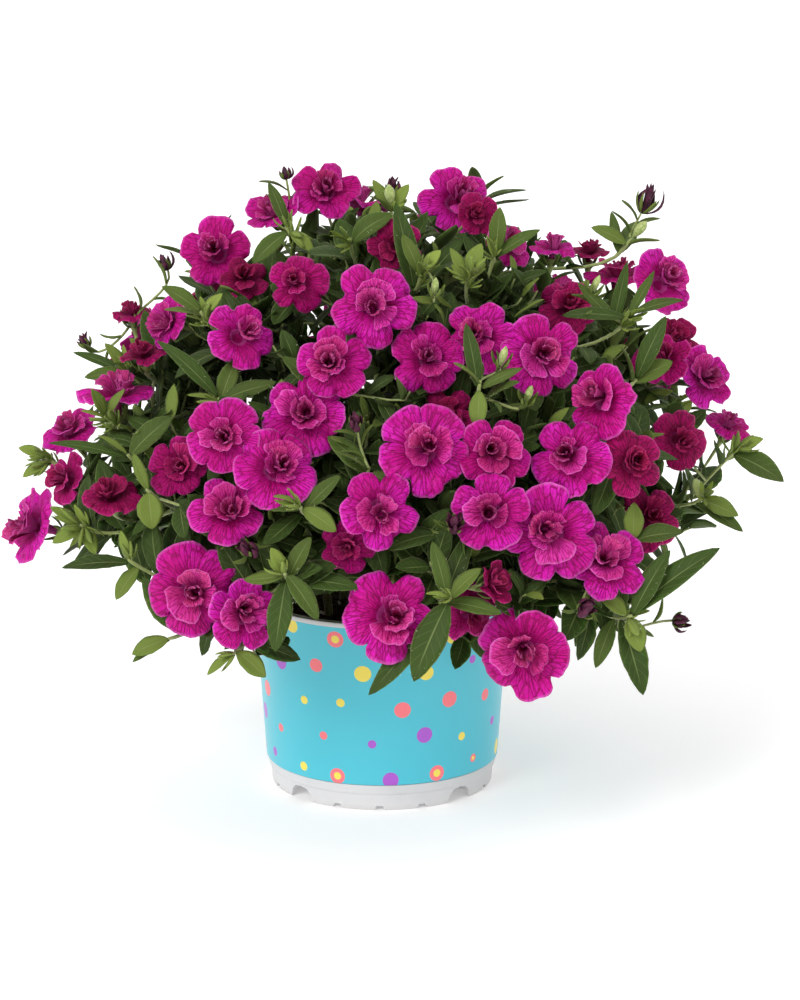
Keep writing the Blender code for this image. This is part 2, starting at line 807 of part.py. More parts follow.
class Plant:
    """The whole mound, grown piece by piece so that nothing crosses anything that it doesn't grow from."""

    def __init__(self):
        self.draw = random.Random(SEED)
        self.thicket = Thicket()
        self.clusters = []
        self.trunks = []
        self.shoots = []
        self.twigs = []
        self.pedicels = []
        self.leaves = []
        self.buds = []
        self.lost = []
        rim = lathe_shell(((52.0, 70.0), (60.5, 0.0), (60.5, 87.5), (52.0, 87.5)), 24)
        self.thicket.add("pot", rim)

    def grow(self):
        """Grow the blooms, then the stems that carry them, then the leaves that fit between."""
        self.open_seen_blooms()
        self.open_hidden_blooms()
        self.press_rims()
        self.raise_trunks()
        self.hang_blooms()
        self.reach_tips()
        self.reach_hidden_tips()
        self.fill_leaves()

    def blooms(self):
        """Every bloom."""
        return [bloom for cluster in self.clusters for bloom in cluster]

    def make_bloom(self, centre, facing, radius, tone, cup):
        """A bloom with its own seeded spin and waves."""
        waves = tuple(self.draw.uniform(-0.07, 0.07) for _ in range(5))
        spin = self.draw.uniform(0, 2 * pi)
        return Bloom(centre, facing, radius, spin, cup + self.draw.uniform(-0.03, 0.07), waves, tone)

    def settle(self, bloom):
        """Place a bloom as a cluster of its own if it is clear of everything."""
        shell = bloom.shell()
        if self.thicket.crossed(shell.swollen(CLEARANCE + 0.1)):
            return False
        self.clusters.append([bloom])
        self.thicket.add(bloom, shell)
        return True

    def open_seen_blooms(self):
        """Open each seen bloom where its line of sight meets the dome, moved along that line till it fits."""
        for sight in SEEN_BLOOMS:
            line = sight_line(sight.across, sight.up)
            start = meet_dome(sight.across, sight.up)
            draft = self.make_bloom(start, facing_of(sight.yaw, sight.pitch), 10.0, sight.tone, sight.cup)
            for step in CLEAR_STEPS:
                centre = start + line * (sight.deeper + step)
                draft.centre = centre
                draft.radius = sight.width / 2 * (centre - EYE).length / VIEW_DISTANCE
                if self.settle(draft):
                    break
            else:
                self.lost.append(sight)

    def open_hidden_blooms(self):
        """Open blooms on the parts of the dome that the reference view hides, evenly spaced."""
        count = 0
        for site in hidden_sites(HIDDEN_SITES, 0.10):
            normal = outward(site)
            if count == HIDDEN_LIMIT:
                return
            if any((bloom.centre - site).length < HIDDEN_SPACING for bloom in self.blooms()):
                continue
            facing = (normal + Vector((0, 0, 0.25)) + self.random_vector(0.2)).normalized()
            tone = "deep" if self.draw.random() < 0.2 else "bright"
            radius = HIDDEN_RADIUS + self.draw.uniform(-2.0, 2.0)
            draft = self.make_bloom(site, facing, radius, tone, 0.0)
            sway = self.draw.uniform(-3.0, 3.0)
            for step in CLEAR_STEPS[:8]:
                draft.centre = site - normal * (step + sway)
                if self.settle(draft):
                    count += 1
                    break

    def random_vector(self, size):
        """A short seeded vector."""
        return Vector(self.draw.uniform(-size, size) for _ in range(3))

    def press_rims(self):
        """Move near neighbours together, the nearest first, till the blooms make few enough clusters."""
        blooms = self.blooms()
        pairs = []
        for i, first in enumerate(blooms):
            for j in range(i + 1, len(blooms)):
                gap = (first.centre - blooms[j].centre).length - first.radius - blooms[j].radius
                if gap < PRESS_REACH:
                    pairs.append((gap, i, j))
        pairs.sort()
        for _, i, j in pairs:
            if len(self.clusters) <= BLOOM_NODES:
                return
            home = self.cluster_of(blooms[i])
            other = self.cluster_of(blooms[j])
            if home is other or len(home) + len(other) > CLUSTER_LIMIT:
                continue
            if len(other) == 1:
                self.press(blooms[j], blooms[i], home)
            elif len(home) == 1:
                self.press(blooms[i], blooms[j], other)

    def cluster_of(self, bloom):
        """The cluster that holds a bloom."""
        return next(cluster for cluster in self.clusters if bloom in cluster)

    def press(self, mover, still, home):
        """Move a single bloom towards another till their rims cross, if nothing else is then touched."""
        start = mover.centre
        line = (start - EYE).normalized()
        towards = still.centre - start
        along = line * towards.dot(line)
        aside = towards - along
        hidden = mover.facing.dot(VIEW_BACK) < 0.1
        most = min(ASIDE_HIDDEN if hidden else ASIDE_SEEN, aside.length)
        for k in range(9):
            mover.centre = start + along * (k / 8) + aside.normalized() * (most * k / 8)
            shell = mover.shell()
            near = self.thicket.crossed(shell.swollen(CLEARANCE + 0.1), lambda other: other is mover)
            if not near:
                continue
            crossed = self.thicket.crossed(shell, lambda other: other is mover)
            if len(crossed) < len(near) or any(other not in home for other in near):
                continue
            apart = [(other.centre - mover.centre).length / (other.radius + mover.radius) for other in near]
            if min(apart) < PRESS_LEAST:
                continue
            self.thicket.move(mover, shell)
            self.clusters.remove([mover])
            home.append(mover)
            return
        mover.centre = start

    def clear(self, item, parent=None):
        """Whether a green piece is clear of everything, and beyond its root of its parent stem too."""
        shell = item.shell()
        if self.thicket.crossed(shell.swollen(CLEARANCE), lambda other: other is parent):
            return False
        if parent is None:
            return True
        beyond = [face for face in shell.faces if min(face) > 2]
        return not Shell(shell.corners, beyond).tree().overlap(parent.shell().tree())

    def place(self, item, group, socket=None):
        """Put a green piece in the thicket, on its socket."""
        group.append(item)
        self.thicket.add(item, item.shell())
        if socket:
            socket.stem.bears[socket.face] = item

    def raise_trunks(self):
        """Raise the trunks from the soil and arch their shoots out under the canopy."""
        for trunk in range(TRUNKS):
            turn = 2 * pi * trunk / TRUNKS + TRUNK_TURN
            out = Vector((cos(turn), sin(turn), 0))
            foot = out * TRUNK_RING + Vector((0, 0, TRUNK_ROOT_HEIGHT))
            knee = out * TRUNK_RING + Vector((0, 0, TRUNK_KNEE_HEIGHT))
            fork = out * (TRUNK_RING + 2.0) + Vector((0, 0, TRUNK_TOP_HEIGHT))
            self.place(Stem([foot, knee, fork], TRUNK_RADIUS, TRUNK_RADIUS * 0.85, 5, trunk), self.trunks)
        for trunk in range(TRUNKS):
            high = 58.0 if trunk % 2 else 78.0
            for number, (swing, climb) in enumerate(((-17.0, 4.0), (17.0, 14.0), (-6.0, 36.0), (8.0, high))):
                self.raise_shoot(trunk, swing, climb, number)

    def raise_shoot(self, trunk, swing, climb, number):
        """Arch one shoot from its trunk's fork to a place inside the dome, round whatever is in the way."""
        home = 2 * pi * trunk / TRUNKS + TRUNK_TURN
        fork = self.trunks[trunk].path[-1] - Vector((0, 0, 2.0 + 2.0 * number))
        for share, lift, shift in ((share, lift, shift) for share in (0.8, 0.72, 0.64, 0.56)
                                   for lift in (0, 6, -5, 12) for shift in (0, 5, -5, 10, -10)):
            turn = home + radians(swing + shift)
            rise = radians(climb + lift)
            reach = Vector((cos(rise) * cos(turn) * DOME_ACROSS, cos(rise) * sin(turn) * DOME_DEEP,
                            sin(rise) * DOME_RISE))
            path = arch_path(fork, DOME_CENTRE + reach * share, home)
            stem = Stem(path, SHOOT_RADIUS, SHOOT_RADIUS * 0.75, 3, trunk)
            beyond = Stem(path[1:], SHOOT_RADIUS, SHOOT_RADIUS * 0.75, 3, trunk)
            kin = [other for other in self.shoots + self.trunks if other.trunk == trunk]
            if self.thicket.crossed(stem.shell().swollen(CLEARANCE), lambda other: other in kin):
                continue
            if self.clear(beyond):
                self.place(stem, self.shoots)
                return
        self.lost.append(("shoot", trunk, swing, climb))

    def bearers(self, point, stems, lowest, reach):
        """Sockets that could bear something ending at a point, the handiest first."""
        found = []
        for order, stem in enumerate(stems):
            for socket in stem.sockets():
                towards = point - socket.middle
                gap = towards.length
                if socket.share < lowest or gap > reach or gap < 6.0:
                    continue
                lead = towards.dot(socket.normal * 0.5 + socket.up * 0.5) / gap
                found.append((gap * (1.25 - 0.5 * lead), order, socket.face, socket))
        found.sort(key=lambda entry: entry[:3])
        return [entry[3] for entry in found]

    def hang_blooms(self):
        """Give each bloom its stalk from the handiest shoot that can reach it clear of everything."""
        for bloom in self.blooms():
            if not self.hang_bloom(bloom):
                self.lost.append(bloom)

    def hang_bloom(self, bloom):
        """Try sockets on the shoots, and bends of the stalk, till one is clear."""
        end = bloom.behind(Pedicel.CALYX_START)
        for socket in self.bearers(end, self.shoots, 0.3, 85.0)[:90]:
            start = socket.middle
            gap = (end - start).length
            for near_pull, far_pull in ((0.3, 0.4), (0.15, 0.6), (0.5, 0.25)):
                pull = (socket.normal + socket.up * 0.5).normalized() * gap * near_pull
                stretches = 3 if gap > PEDICEL_LONG else 2
                path = curve(start, start + pull, end - bloom.facing * gap * far_pull, end, stretches)
                ring = socket.ring(PEDICEL_RADIUS, PEDICEL_RADIUS * 1.2)
                trunk = socket.stem.trunk
                bare = Stem(path, PEDICEL_RADIUS, PEDICEL_RADIUS, 3, trunk, ring)
                if not self.clear(bare, socket.stem):
                    continue
                pedicel = Pedicel(path, PEDICEL_RADIUS, PEDICEL_RADIUS, 3, trunk, ring, bloom=bloom)
                passed = (socket.stem, bloom)
                if self.thicket.crossed(pedicel.shell().swollen(CLEARANCE), lambda other: other in passed):
                    continue
                self.place(pedicel, self.pedicels, socket)
                return True
        return False

    def reach_tips(self):
        """Grow a side shoot to each seen leafy tip, with its long leaves and its bud or young leaves."""
        for tip in SEEN_TIPS:
            if not self.reach_tip(tip):
                self.lost.append(tip)

    def reach_tip(self, tip):
        """Grow one seen side shoot with its leaves."""
        for out in (tip.out, tip.out - 0.06, tip.out + 0.05, tip.out - 0.12):
            twig = self.reach_out(meet_dome(tip.across, tip.up, out))
            if twig:
                self.leaf_tip(tip, twig)
                return True
        return False

    def reach_out(self, end):
        """Grow a side shoot to a place from the handiest socket, with the first bend that is clear."""
        lift = (outward(end) + Vector((0, 0, 0.6))).normalized()
        for socket in self.bearers(end, self.shoots, 0.3, 85.0)[:60]:
            start = socket.middle
            gap = (end - start).length
            for near_pull, far_pull in ((0.35, 0.35), (0.15, 0.6)):
                pull = (socket.normal + socket.up * 0.5).normalized() * gap * near_pull
                fine = curve(start, start + pull, end - lift * gap * far_pull, end, 20)
                path = [fine[0], fine[8], fine[14], fine[17], fine[20]]
                ring = socket.ring(TWIG_RADIUS, TWIG_RADIUS * 1.2)
                twig = Stem(path, TWIG_RADIUS * 1.1, TWIG_RADIUS * 0.95, 3, socket.stem.trunk, ring)
                if self.clear(twig, socket.stem):
                    self.place(twig, self.twigs, socket)
                    return twig
        return None

    def reach_hidden_tips(self):
        """Grow evenly spaced leafy side shoots on the side that the reference view hides."""
        tips = []
        for site in hidden_sites(HIDDEN_TIP_SITES, 0.0):
            if len(tips) == HIDDEN_TIP_LIMIT:
                return
            if any((twig.path[-1] - site).length < HIDDEN_TIP_SPACING for twig in self.twigs):
                continue
            twig = self.reach_out(site + outward(site) * self.draw.uniform(-8.0, 4.0))
            if not twig:
                continue
            tips.append(twig)
            for k in range(HIDDEN_TIP_LEAVES):
                size = self.draw.uniform(20.0, 28.0)
                self.short_leaf(twig, 0.98 - 0.05 * k, k * GOLDEN_ANGLE, radians(58), size, size * 0.33)

    def leaf_tip(self, tip, twig):
        """Set a seen tip's leaves on its side shoot."""
        if tip.bud:
            socket = twig.sockets()[-1]
            bud = Bud(socket.middle, socket.normal, 10.0, 2.2, twig.trunk, socket.ring(0.6, 0.7))
            if self.clear(bud, twig):
                self.place(bud, self.buds, socket)
        for across, up, width in tip.leaves:
            if not self.seen_leaf(twig, across, up, width):
                self.lost.append(("leaf", across, up))
        for k in range(tip.young):
            self.short_leaf(twig, 0.95, k * 2 * pi / tip.young, radians(28), 12.0, 3.6)

    def seen_leaf(self, twig, across, up, width):
        """Set one leaf so that its tip shows where it was seen."""
        face = VIEW_BACK * 0.8 + Vector((0, 0, 0.6))
        sockets = [socket for socket in twig.sockets() if socket.share > 0.5]
        aim = at_depth_of(twig.path[-1], across, up, 0.0) - twig.path[-1]
        sockets.sort(key=lambda socket: -socket.normal.dot(aim.normalized()) - socket.share)
        for socket in sockets:
            root = socket.middle
            flat = at_depth_of(root, across, up, 0.0)
            for lean in (0.1, -0.3, 0.5, -0.8, 0.9):
                tip = at_depth_of(root, across, up, lean * (flat - root).length)
                if (tip - root).normalized().dot(socket.normal) < LEAST_LIFT:
                    continue
                for arch in (0.08, 0.0, 0.16):
                    leaf = Leaf(root, tip, face, width, arch, twig.trunk, socket.ring(0.6, 0.8))
                    if self.clear(leaf, twig):
                        self.place(leaf, self.leaves, socket)
                        return True
        return False

    def short_leaf(self, stem, share, turn, spread, length, width):
        """Set a leaf that leaves the stem near a share of its length, on the side nearest a turn round it."""
        _, direction = stem.at(share)
        side = across_of(direction)
        out = side * cos(turn) + direction.cross(side) * sin(turn)
        sockets = [socket for socket in stem.sockets() if abs(socket.share - share) < 0.14]
        sockets.sort(key=lambda socket: 3 * abs(socket.share - share) - socket.normal.dot(out))
        for socket in sockets[:4]:
            aim = socket.up * cos(spread) + socket.normal * sin(spread) + out * 0.2 + Vector((0, 0, 0.15))
            aim.normalize()
            if aim.dot(socket.normal) < LEAST_LIFT:
                continue
            face = direction * 0.8 + Vector((0, 0, 0.8)) - socket.normal * 0.2
            tip = socket.middle + aim * length
            leaf = Leaf(socket.middle, tip, face, width, 0.08, stem.trunk, socket.ring(0.6, 0.8))
            if self.clear(leaf, stem):
                self.place(leaf, self.leaves, socket)
                return True
        return False

    def fill_leaves(self):
        """Set leaves up every shoot and side shoot by the golden angle, where they fit."""
        for stem in self.shoots + self.twigs:
            length = sum((b - a).length for a, b in zip(stem.path, stem.path[1:]))
            for k in range(int(length * LEAFY_SHARE / LEAF_STEP)):
                turn = k * GOLDEN_ANGLE + self.draw.uniform(-0.3, 0.3)
                size = self.draw.uniform(19.0, 27.0) * (0.7 if k == 0 else 1.0)
                self.short_leaf(stem, 1.0 - k * LEAF_STEP / length, turn, radians(50), size, size * 0.33)


def arch_path(fork, end, home):
    """A path that rises from the fork, clears the rim and swings round from home to the end."""
    flat = Vector((end.x, end.y, 0)).length
    near = Vector((fork.x, fork.y, 0)).length
    top = max(end.z + 4.0, 122.0)
    far_top = top if end.z < 150 else end.z - (end.z - 110) * 0.3
    profile = curve(Vector((near, 0, fork.z)), Vector((near + 8.0, 0, fork.z + (top - fork.z) * 0.75)),
                    Vector((near + (flat - near) * 0.62, 0, far_top)), Vector((flat, 0, end.z)), 5)
    swing = (atan2(end.y, end.x) - home + pi) % (2 * pi) - pi
    path = []
    for i, point in enumerate(profile):
        angle = home + swing * i / (len(profile) - 1)
        path.append(Vector((point.x * cos(angle), point.x * sin(angle), point.z)))
    return path


def paint(name, colour, roughness):
    """A plain material in the part's own colour."""
    material = bpy.data.materials.new(name)
    material.use_nodes = True
    shader = material.node_tree.nodes["Principled BSDF"]
    shader.inputs["Base Color"].default_value = (*colour, 1.0)
    shader.inputs["Roughness"].default_value = roughness
    shader.inputs["Metallic"].default_value = 0.0
    material.diffuse_color = (*colour, 1.0)
    return material


def shell_object(name, shell):
    """An object with a shell's surface, in metres."""
    mesh = bpy.data.meshes.new(name)
    mesh.from_pydata([point * MM for point in shell.corners], [], shell.faces)
    mesh.update()
    return bpy.data.objects.new(name, mesh)


def link(thing, material=None):
    """Show an object in the scene, in a material."""
    bpy.context.scene.collection.objects.link(thing)
    if material:
        thing.data.materials.append(material)
    return thing


def remove(thing):
    """Remove an object and its mesh."""
    mesh = thing.data
    bpy.data.objects.remove(thing)
    bpy.data.meshes.remove(mesh)


def apply_modifiers(thing):
    """Keep an object's evaluated mesh as its own."""
    view = bpy.context.evaluated_depsgraph_get()
    mesh = bpy.data.meshes.new_from_object(thing.evaluated_get(view))
    thing.modifiers.clear()
    thing.data = mesh


def fuse(thing, others):
    """Join the others to an object in one union and remove them."""
    group = bpy.data.collections.new(thing.name + "_repeats")
    bpy.context.scene.collection.children.link(group)
    for other in others:
        group.objects.link(other)
    union = thing.modifiers.new("Union", "BOOLEAN")
    union.operation = "UNION"
    union.operand_type = "COLLECTION"
    union.collection = group
    union.solver = "MANIFOLD"
    apply_modifiers(thing)
    for other in others:
        remove(other)
    bpy.data.collections.remove(group)


def keep_outer_body(thing):
    """Drop the loose scraps and the sealed pockets that a union left, so that one body stays."""
    shape = bmesh.new()
    shape.from_mesh(thing.data)
    waiting = set(shape.verts)
    bodies = []
    while waiting:
        body = {waiting.pop()}
        edge = list(body)
        while edge:
            fresh = {link_edge.other_vert(vert) for vert in edge for link_edge in vert.link_edges} - body
            body |= fresh
            edge = list(fresh)
        waiting -= body
        bodies.append(body)
    bodies.sort(key=len)
    for body in bodies[:-1]:
        bmesh.ops.delete(shape, geom=list(body), context="VERTS")
    shape.to_mesh(thing.data)
    shape.free()
    return len(bodies)


def clump(name, shells, material):
    """One node that holds many shells joined as one body."""
    base = link(shell_object(name, shells[0]), material)
    others = [shell_object(f"{name}_{number}", shell) for number, shell in enumerate(shells[1:])]
    if others:
        fuse(base, others)
        keep_outer_body(base)
    return base


def lathe(name, profile, material, sides=POT_SIDES):
    """A ring turned from its (radius, height) outline; a radius of 0 closes it on the axis."""
    shape = bmesh.new()
    verts = [shape.verts.new((radius * MM, 0, height * MM)) for radius, height in profile]
    for start, end in zip(verts, verts[1:]):
        shape.edges.new((start, end))
    if profile[0][0] > 0:
        shape.edges.new((verts[-1], verts[0]))
    bmesh.ops.spin(shape, geom=list(shape.verts) + list(shape.edges), cent=(0, 0, 0), axis=(0, 0, 1),
                   angle=2 * pi, steps=sides, use_merge=True)
    bmesh.ops.remove_doubles(shape, verts=shape.verts, dist=0.00001)
    bmesh.ops.recalc_face_normals(shape, faces=shape.faces)
    mesh = bpy.data.meshes.new(name)
    shape.to_mesh(mesh)
    shape.free()
    return link(bpy.data.objects.new(name, mesh), material)


def wall_cutter(name, outline, turn):
    """A guide for a cut through the foot's wall: an (across, up) outline pushed out from inside it."""
    shape = bmesh.new()
    near = [shape.verts.new((x * MM, -CUT_START * MM, z * MM)) for x, z in outline]
    face = shape.faces.new(near)
    pushed = bmesh.ops.extrude_face_region(shape, geom=[face])
    moved = [item for item in pushed["geom"] if isinstance(item, bmesh.types.BMVert)]
    bmesh.ops.translate(shape, verts=moved, vec=(0, -CUT_REACH * MM, 0))
    bmesh.ops.rotate(shape, verts=shape.verts, cent=(0, 0, 0),
                     matrix=Matrix.Rotation(turn, 3, "Z"))
    bmesh.ops.recalc_face_normals(shape, faces=shape.faces)
    mesh = bpy.data.meshes.new(name)
    shape.to_mesh(mesh)
    shape.free()
    return bpy.data.objects.new(name, mesh)


def round_cutter(name, radius, sides, centre, low, high):
    """A guide for an upright round hole."""
    shape = bmesh.new()
    bmesh.ops.create_cone(shape, cap_ends=True, segments=sides, radius1=radius * MM, radius2=radius * MM,
                          depth=(high - low) * MM)
    bmesh.ops.translate(shape, verts=shape.verts,
                        vec=(centre.x * MM, centre.y * MM, (high + low) / 2 * MM))
    mesh = bpy.data.meshes.new(name)
    shape.to_mesh(mesh)
    shape.free()
    return bpy.data.objects.new(name, mesh)


def cut(thing, guides):
    """Cut all the guides out of an object and remove them."""
    group = bpy.data.collections.new(thing.name + "_cuts")
    bpy.context.scene.collection.children.link(group)
    for guide in guides:
        group.objects.link(guide)
    taken = thing.modifiers.new("Cuts", "BOOLEAN")
    taken.operation = "DIFFERENCE"
    taken.operand_type = "COLLECTION"
    taken.collection = group
    apply_modifiers(thing)
    for guide in guides:
        remove(guide)
    bpy.data.collections.remove(group)


def make_pot(material):
    """The moulded pot, with its feet, its band and ledge, its rim and the drain holes in its floor."""
    inner_top = POT_SHOULDER_RADIUS - POT_WALL
    pot = lathe("pot", (
        (0.0, 0.0),
        (POT_BOSS_RADIUS, 0.0),
        (POT_BOSS_RADIUS + 0.8, POT_FLOOR_UNDER),
        (POT_FOOT_RADIUS - POT_WALL - 0.4, POT_FLOOR_UNDER),
        (POT_FOOT_RADIUS - POT_WALL, 0.0),
        (POT_FOOT_RADIUS, 0.0),
        (POT_FOOT_RADIUS + 0.6, POT_LEDGE_HEIGHT),
        (POT_FOOT_RADIUS + 0.6 + POT_LEDGE_STEP, POT_LEDGE_HEIGHT + 0.6),
        (POT_BAND_RADIUS, POT_BAND_TOP),
        (POT_WALL_RADIUS, POT_BAND_TOP),
        (POT_SHOULDER_RADIUS, POT_HEIGHT - POT_RIM_DEPTH),
        (POT_RIM_RADIUS, POT_HEIGHT - POT_RIM_DEPTH),
        (POT_RIM_RADIUS, POT_HEIGHT - 0.8),
        (POT_RIM_RADIUS - 0.8, POT_HEIGHT),
        (inner_top, POT_HEIGHT),
        (POT_WALL_RADIUS - POT_WALL, POT_BAND_TOP),
        (POT_FOOT_RADIUS - POT_WALL + 0.3, POT_FLOOR_TOP),
        (0.0, POT_FLOOR_TOP),
    ), material)
    half = ARCH_WIDTH / 2
    arch = ((-half, -1.0), (half, -1.0), (half, ARCH_HEIGHT * 0.6), (half * 0.6, ARCH_HEIGHT * 0.9),
            (0.0, ARCH_HEIGHT), (-half * 0.6, ARCH_HEIGHT * 0.9), (-half, ARCH_HEIGHT * 0.6))
    wide = NOTCH_WIDTH / 2
    notch = ((-wide, -1.0), (wide, -1.0), (wide * 0.7, NOTCH_HEIGHT), (-wide * 0.7, NOTCH_HEIGHT))
    guides = []
    for foot in range(POT_FEET):
        turn = foot * 2 * pi / POT_FEET
        guides.append(wall_cutter(f"arch_{foot}", arch, turn + pi / POT_FEET + ARCH_SWING))
        for step in (-1, 0, 1):
            guides.append(wall_cutter(f"notch_{foot}_{step}", notch, turn + step * NOTCH_STEP + ARCH_SWING))
    for number in range(DRAIN_COUNT):
        turn = (number + 0.5) * 2 * pi / DRAIN_COUNT
        centre = Vector((DRAIN_RING * cos(turn), DRAIN_RING * sin(turn), 0))
        guides.append(round_cutter(f"drain_{number}", DRAIN_RADIUS, 8, centre, 0.0, POT_FLOOR_TOP + 3.0))
    cut(pot, guides)
    return pot


def make_label(material):
    """The printed sleeve round the wall, between the band and the rim."""
    low = POT_BAND_TOP + CLEARANCE
    high = POT_HEIGHT - POT_RIM_DEPTH - CLEARANCE
    bottom = POT_WALL_RADIUS + CLEARANCE
    top = POT_SHOULDER_RADIUS + CLEARANCE
    profile = ((bottom, low), (bottom + LABEL_THICKNESS, low), (top + LABEL_THICKNESS, high), (top, high))
    return lathe("label_sleeve", profile, material)


def make_soil(material, trunks):
    """The potting soil, filling the pot to below its rim, with a plain hole for each trunk."""
    share = (SOIL_EDGE_HEIGHT - POT_BAND_TOP) / (POT_HEIGHT - POT_BAND_TOP)
    low_radius = POT_WALL_RADIUS - POT_WALL
    top_radius = low_radius + (POT_SHOULDER_RADIUS - POT_WALL_RADIUS) * share
    soil = lathe("soil", (
        (0.0, POT_FLOOR_TOP + CLEARANCE),
        (POT_FOOT_RADIUS - POT_WALL, POT_FLOOR_TOP + CLEARANCE),
        (low_radius - CLEARANCE, POT_BAND_TOP),
        (top_radius - CLEARANCE, SOIL_EDGE_HEIGHT),
        (top_radius * 0.7, SOIL_CROWN_HEIGHT - 0.6),
        (0.0, SOIL_CROWN_HEIGHT),
    ), material)
    sides = 8
    radius = (TRUNK_RADIUS + CLEARANCE) / cos(pi / sides)
    guides = []
    for number, trunk in enumerate(trunks):
        foot = trunk.path[0]
        guides.append(round_cutter(f"hole_{number}", radius, sides, foot, foot.z - CLEARANCE, 90.0))
    cut(soil, guides)
    return soil


def make_greens(plant, material):
    """One node for each trunk with its shoots, stalks, calyces, buds and leaves."""
    for trunk in plant.trunks:
        shells = [trunk.shell()]
        for shoot in plant.shoots:
            if shoot.trunk == trunk.trunk:
                corners = []
                faces = []
                shoot.skin(corners, faces)
                shells.append(Shell(corners, faces))
        clump(f"leafy_stem_{trunk.trunk + 1}", shells, material)


def make_blooms(plant, materials):
    """One node for each bloom, or for each few blooms that press rim to rim."""
    for number, cluster in enumerate(plant.clusters):
        shells = [bloom.shell() for bloom in cluster]
        clump(f"bloom_{number + 1:02d}", shells, materials[cluster[0].tone])


def main():
    """Build the potted plant in an empty scene."""
    for thing in list(bpy.data.objects):
        bpy.data.objects.remove(thing)
    plastic = paint("white_plastic", (0.78, 0.79, 0.80), 0.35)
    sleeve = paint("turquoise_sleeve", (0.10, 0.60, 0.68), 0.40)
    peat = paint("potting_soil", (0.045, 0.030, 0.020), 0.90)
    foliage = paint("green_foliage", (0.070, 0.150, 0.030), 0.55)
    petals = {
        "bright": paint("magenta_petals", (0.48, 0.010, 0.27), 0.60),
        "mid": paint("shaded_petals", (0.36, 0.006, 0.17), 0.60),
        "deep": paint("crimson_petals", (0.22, 0.004, 0.07), 0.60),
    }
    plant = Plant()
    plant.grow()
    make_pot(plastic)
    make_label(sleeve)
    make_soil(peat, plant.trunks)
    make_greens(plant, foliage)
    make_blooms(plant, petals)


main()
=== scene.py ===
"""Double magenta calibrachoa in its nursery pot: the looks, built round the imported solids.

The blooms, blades, buds and stems are found again in the solids' own corners, so each fine piece stands
where its solid stands. Sizes in dataclass fields and named values are millimetres, and MM turns them into
metres. Growth that only fills the canopy starts on the stems and keeps clear of the blooms.
"""

from __future__ import annotations

import logging
from dataclasses import dataclass
from enum import Enum
from math import cos, pi, radians, sin, sqrt
from typing import Any, Iterable, Sequence

import bmesh
import bpy
import numpy as np
from mathutils import Matrix, Vector
from mathutils.bvhtree import BVHTree
from mathutils.geometry import interpolate_bezier
from mathutils.noise import fractal
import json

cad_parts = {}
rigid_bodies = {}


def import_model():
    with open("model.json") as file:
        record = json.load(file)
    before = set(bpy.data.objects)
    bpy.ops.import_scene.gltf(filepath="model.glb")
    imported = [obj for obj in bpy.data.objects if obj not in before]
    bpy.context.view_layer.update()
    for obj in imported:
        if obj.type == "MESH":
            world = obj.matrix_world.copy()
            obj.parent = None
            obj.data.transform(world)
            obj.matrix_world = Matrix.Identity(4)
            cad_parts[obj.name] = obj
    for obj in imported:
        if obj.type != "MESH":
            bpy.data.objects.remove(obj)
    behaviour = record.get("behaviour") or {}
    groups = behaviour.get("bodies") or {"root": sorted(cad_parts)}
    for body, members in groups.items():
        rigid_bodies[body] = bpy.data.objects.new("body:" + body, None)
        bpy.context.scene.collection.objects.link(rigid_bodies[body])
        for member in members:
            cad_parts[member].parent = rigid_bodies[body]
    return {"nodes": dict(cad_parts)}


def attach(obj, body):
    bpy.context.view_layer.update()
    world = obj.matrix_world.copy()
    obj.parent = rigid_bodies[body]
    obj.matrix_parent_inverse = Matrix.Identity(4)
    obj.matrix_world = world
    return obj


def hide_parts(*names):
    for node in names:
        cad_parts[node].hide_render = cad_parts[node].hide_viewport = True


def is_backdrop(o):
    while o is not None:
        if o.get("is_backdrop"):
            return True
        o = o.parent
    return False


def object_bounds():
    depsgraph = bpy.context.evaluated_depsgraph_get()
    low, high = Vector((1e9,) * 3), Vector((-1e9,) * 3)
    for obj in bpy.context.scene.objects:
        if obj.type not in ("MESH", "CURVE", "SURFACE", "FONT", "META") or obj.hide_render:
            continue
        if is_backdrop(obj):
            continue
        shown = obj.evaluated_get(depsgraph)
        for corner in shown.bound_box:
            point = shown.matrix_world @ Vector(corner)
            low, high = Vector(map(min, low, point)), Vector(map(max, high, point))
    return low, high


LOG = logging.getLogger("calibrachoa")
MM = 0.001
SEED = 7
FIFTH = 2 * pi / 5

Span = tuple[float, float]
Outline = tuple[Span, ...]
Colour = tuple[float, float, float, float]
Mesh = tuple[np.ndarray, list[tuple[int, ...]]]
Thing = bpy.types.Object
Material = bpy.types.Material
Draw = np.random.Generator
Corner = bmesh.types.BMVert
Ring = Sequence[Corner]
Sites = tuple[list[bmesh.types.BMFace], np.ndarray]

# The view that the photograph has, and the canopy's dome, both in millimetres
VIEW_ELEVATION = radians(13.5)
VIEW_DISTANCE = 1500.0
VIEW_AIM = Vector((8.0, 0.0, 127.0))
VIEW_MIDDLE = (8.0, 123.0)
VIEW_BACK = Vector((0.0, -cos(VIEW_ELEVATION), sin(VIEW_ELEVATION)))
VIEW_RISE = Vector((0.0, sin(VIEW_ELEVATION), cos(VIEW_ELEVATION)))
EYE = VIEW_AIM + VIEW_BACK * VIEW_DISTANCE
SENSOR = 36.0
FRAMED_HEIGHT = 440.0
DOME_CENTRE = Vector((5.0, 0.0, 105.0))
DOME_ACROSS = 150.0
DOME_DEEP = 145.0
DOME_RISE = 158.0
DOME_SAG = 45.0

# A line of sight is followed in steps from before the canopy to behind its middle
SEARCH_STEP = 2.0
SEARCH_NEAR = -95
SEARCH_FAR = 60

# The green pieces' materials, in the order that their meshes hold them
BLADE, STEM, BUD, WITHERED = range(4)


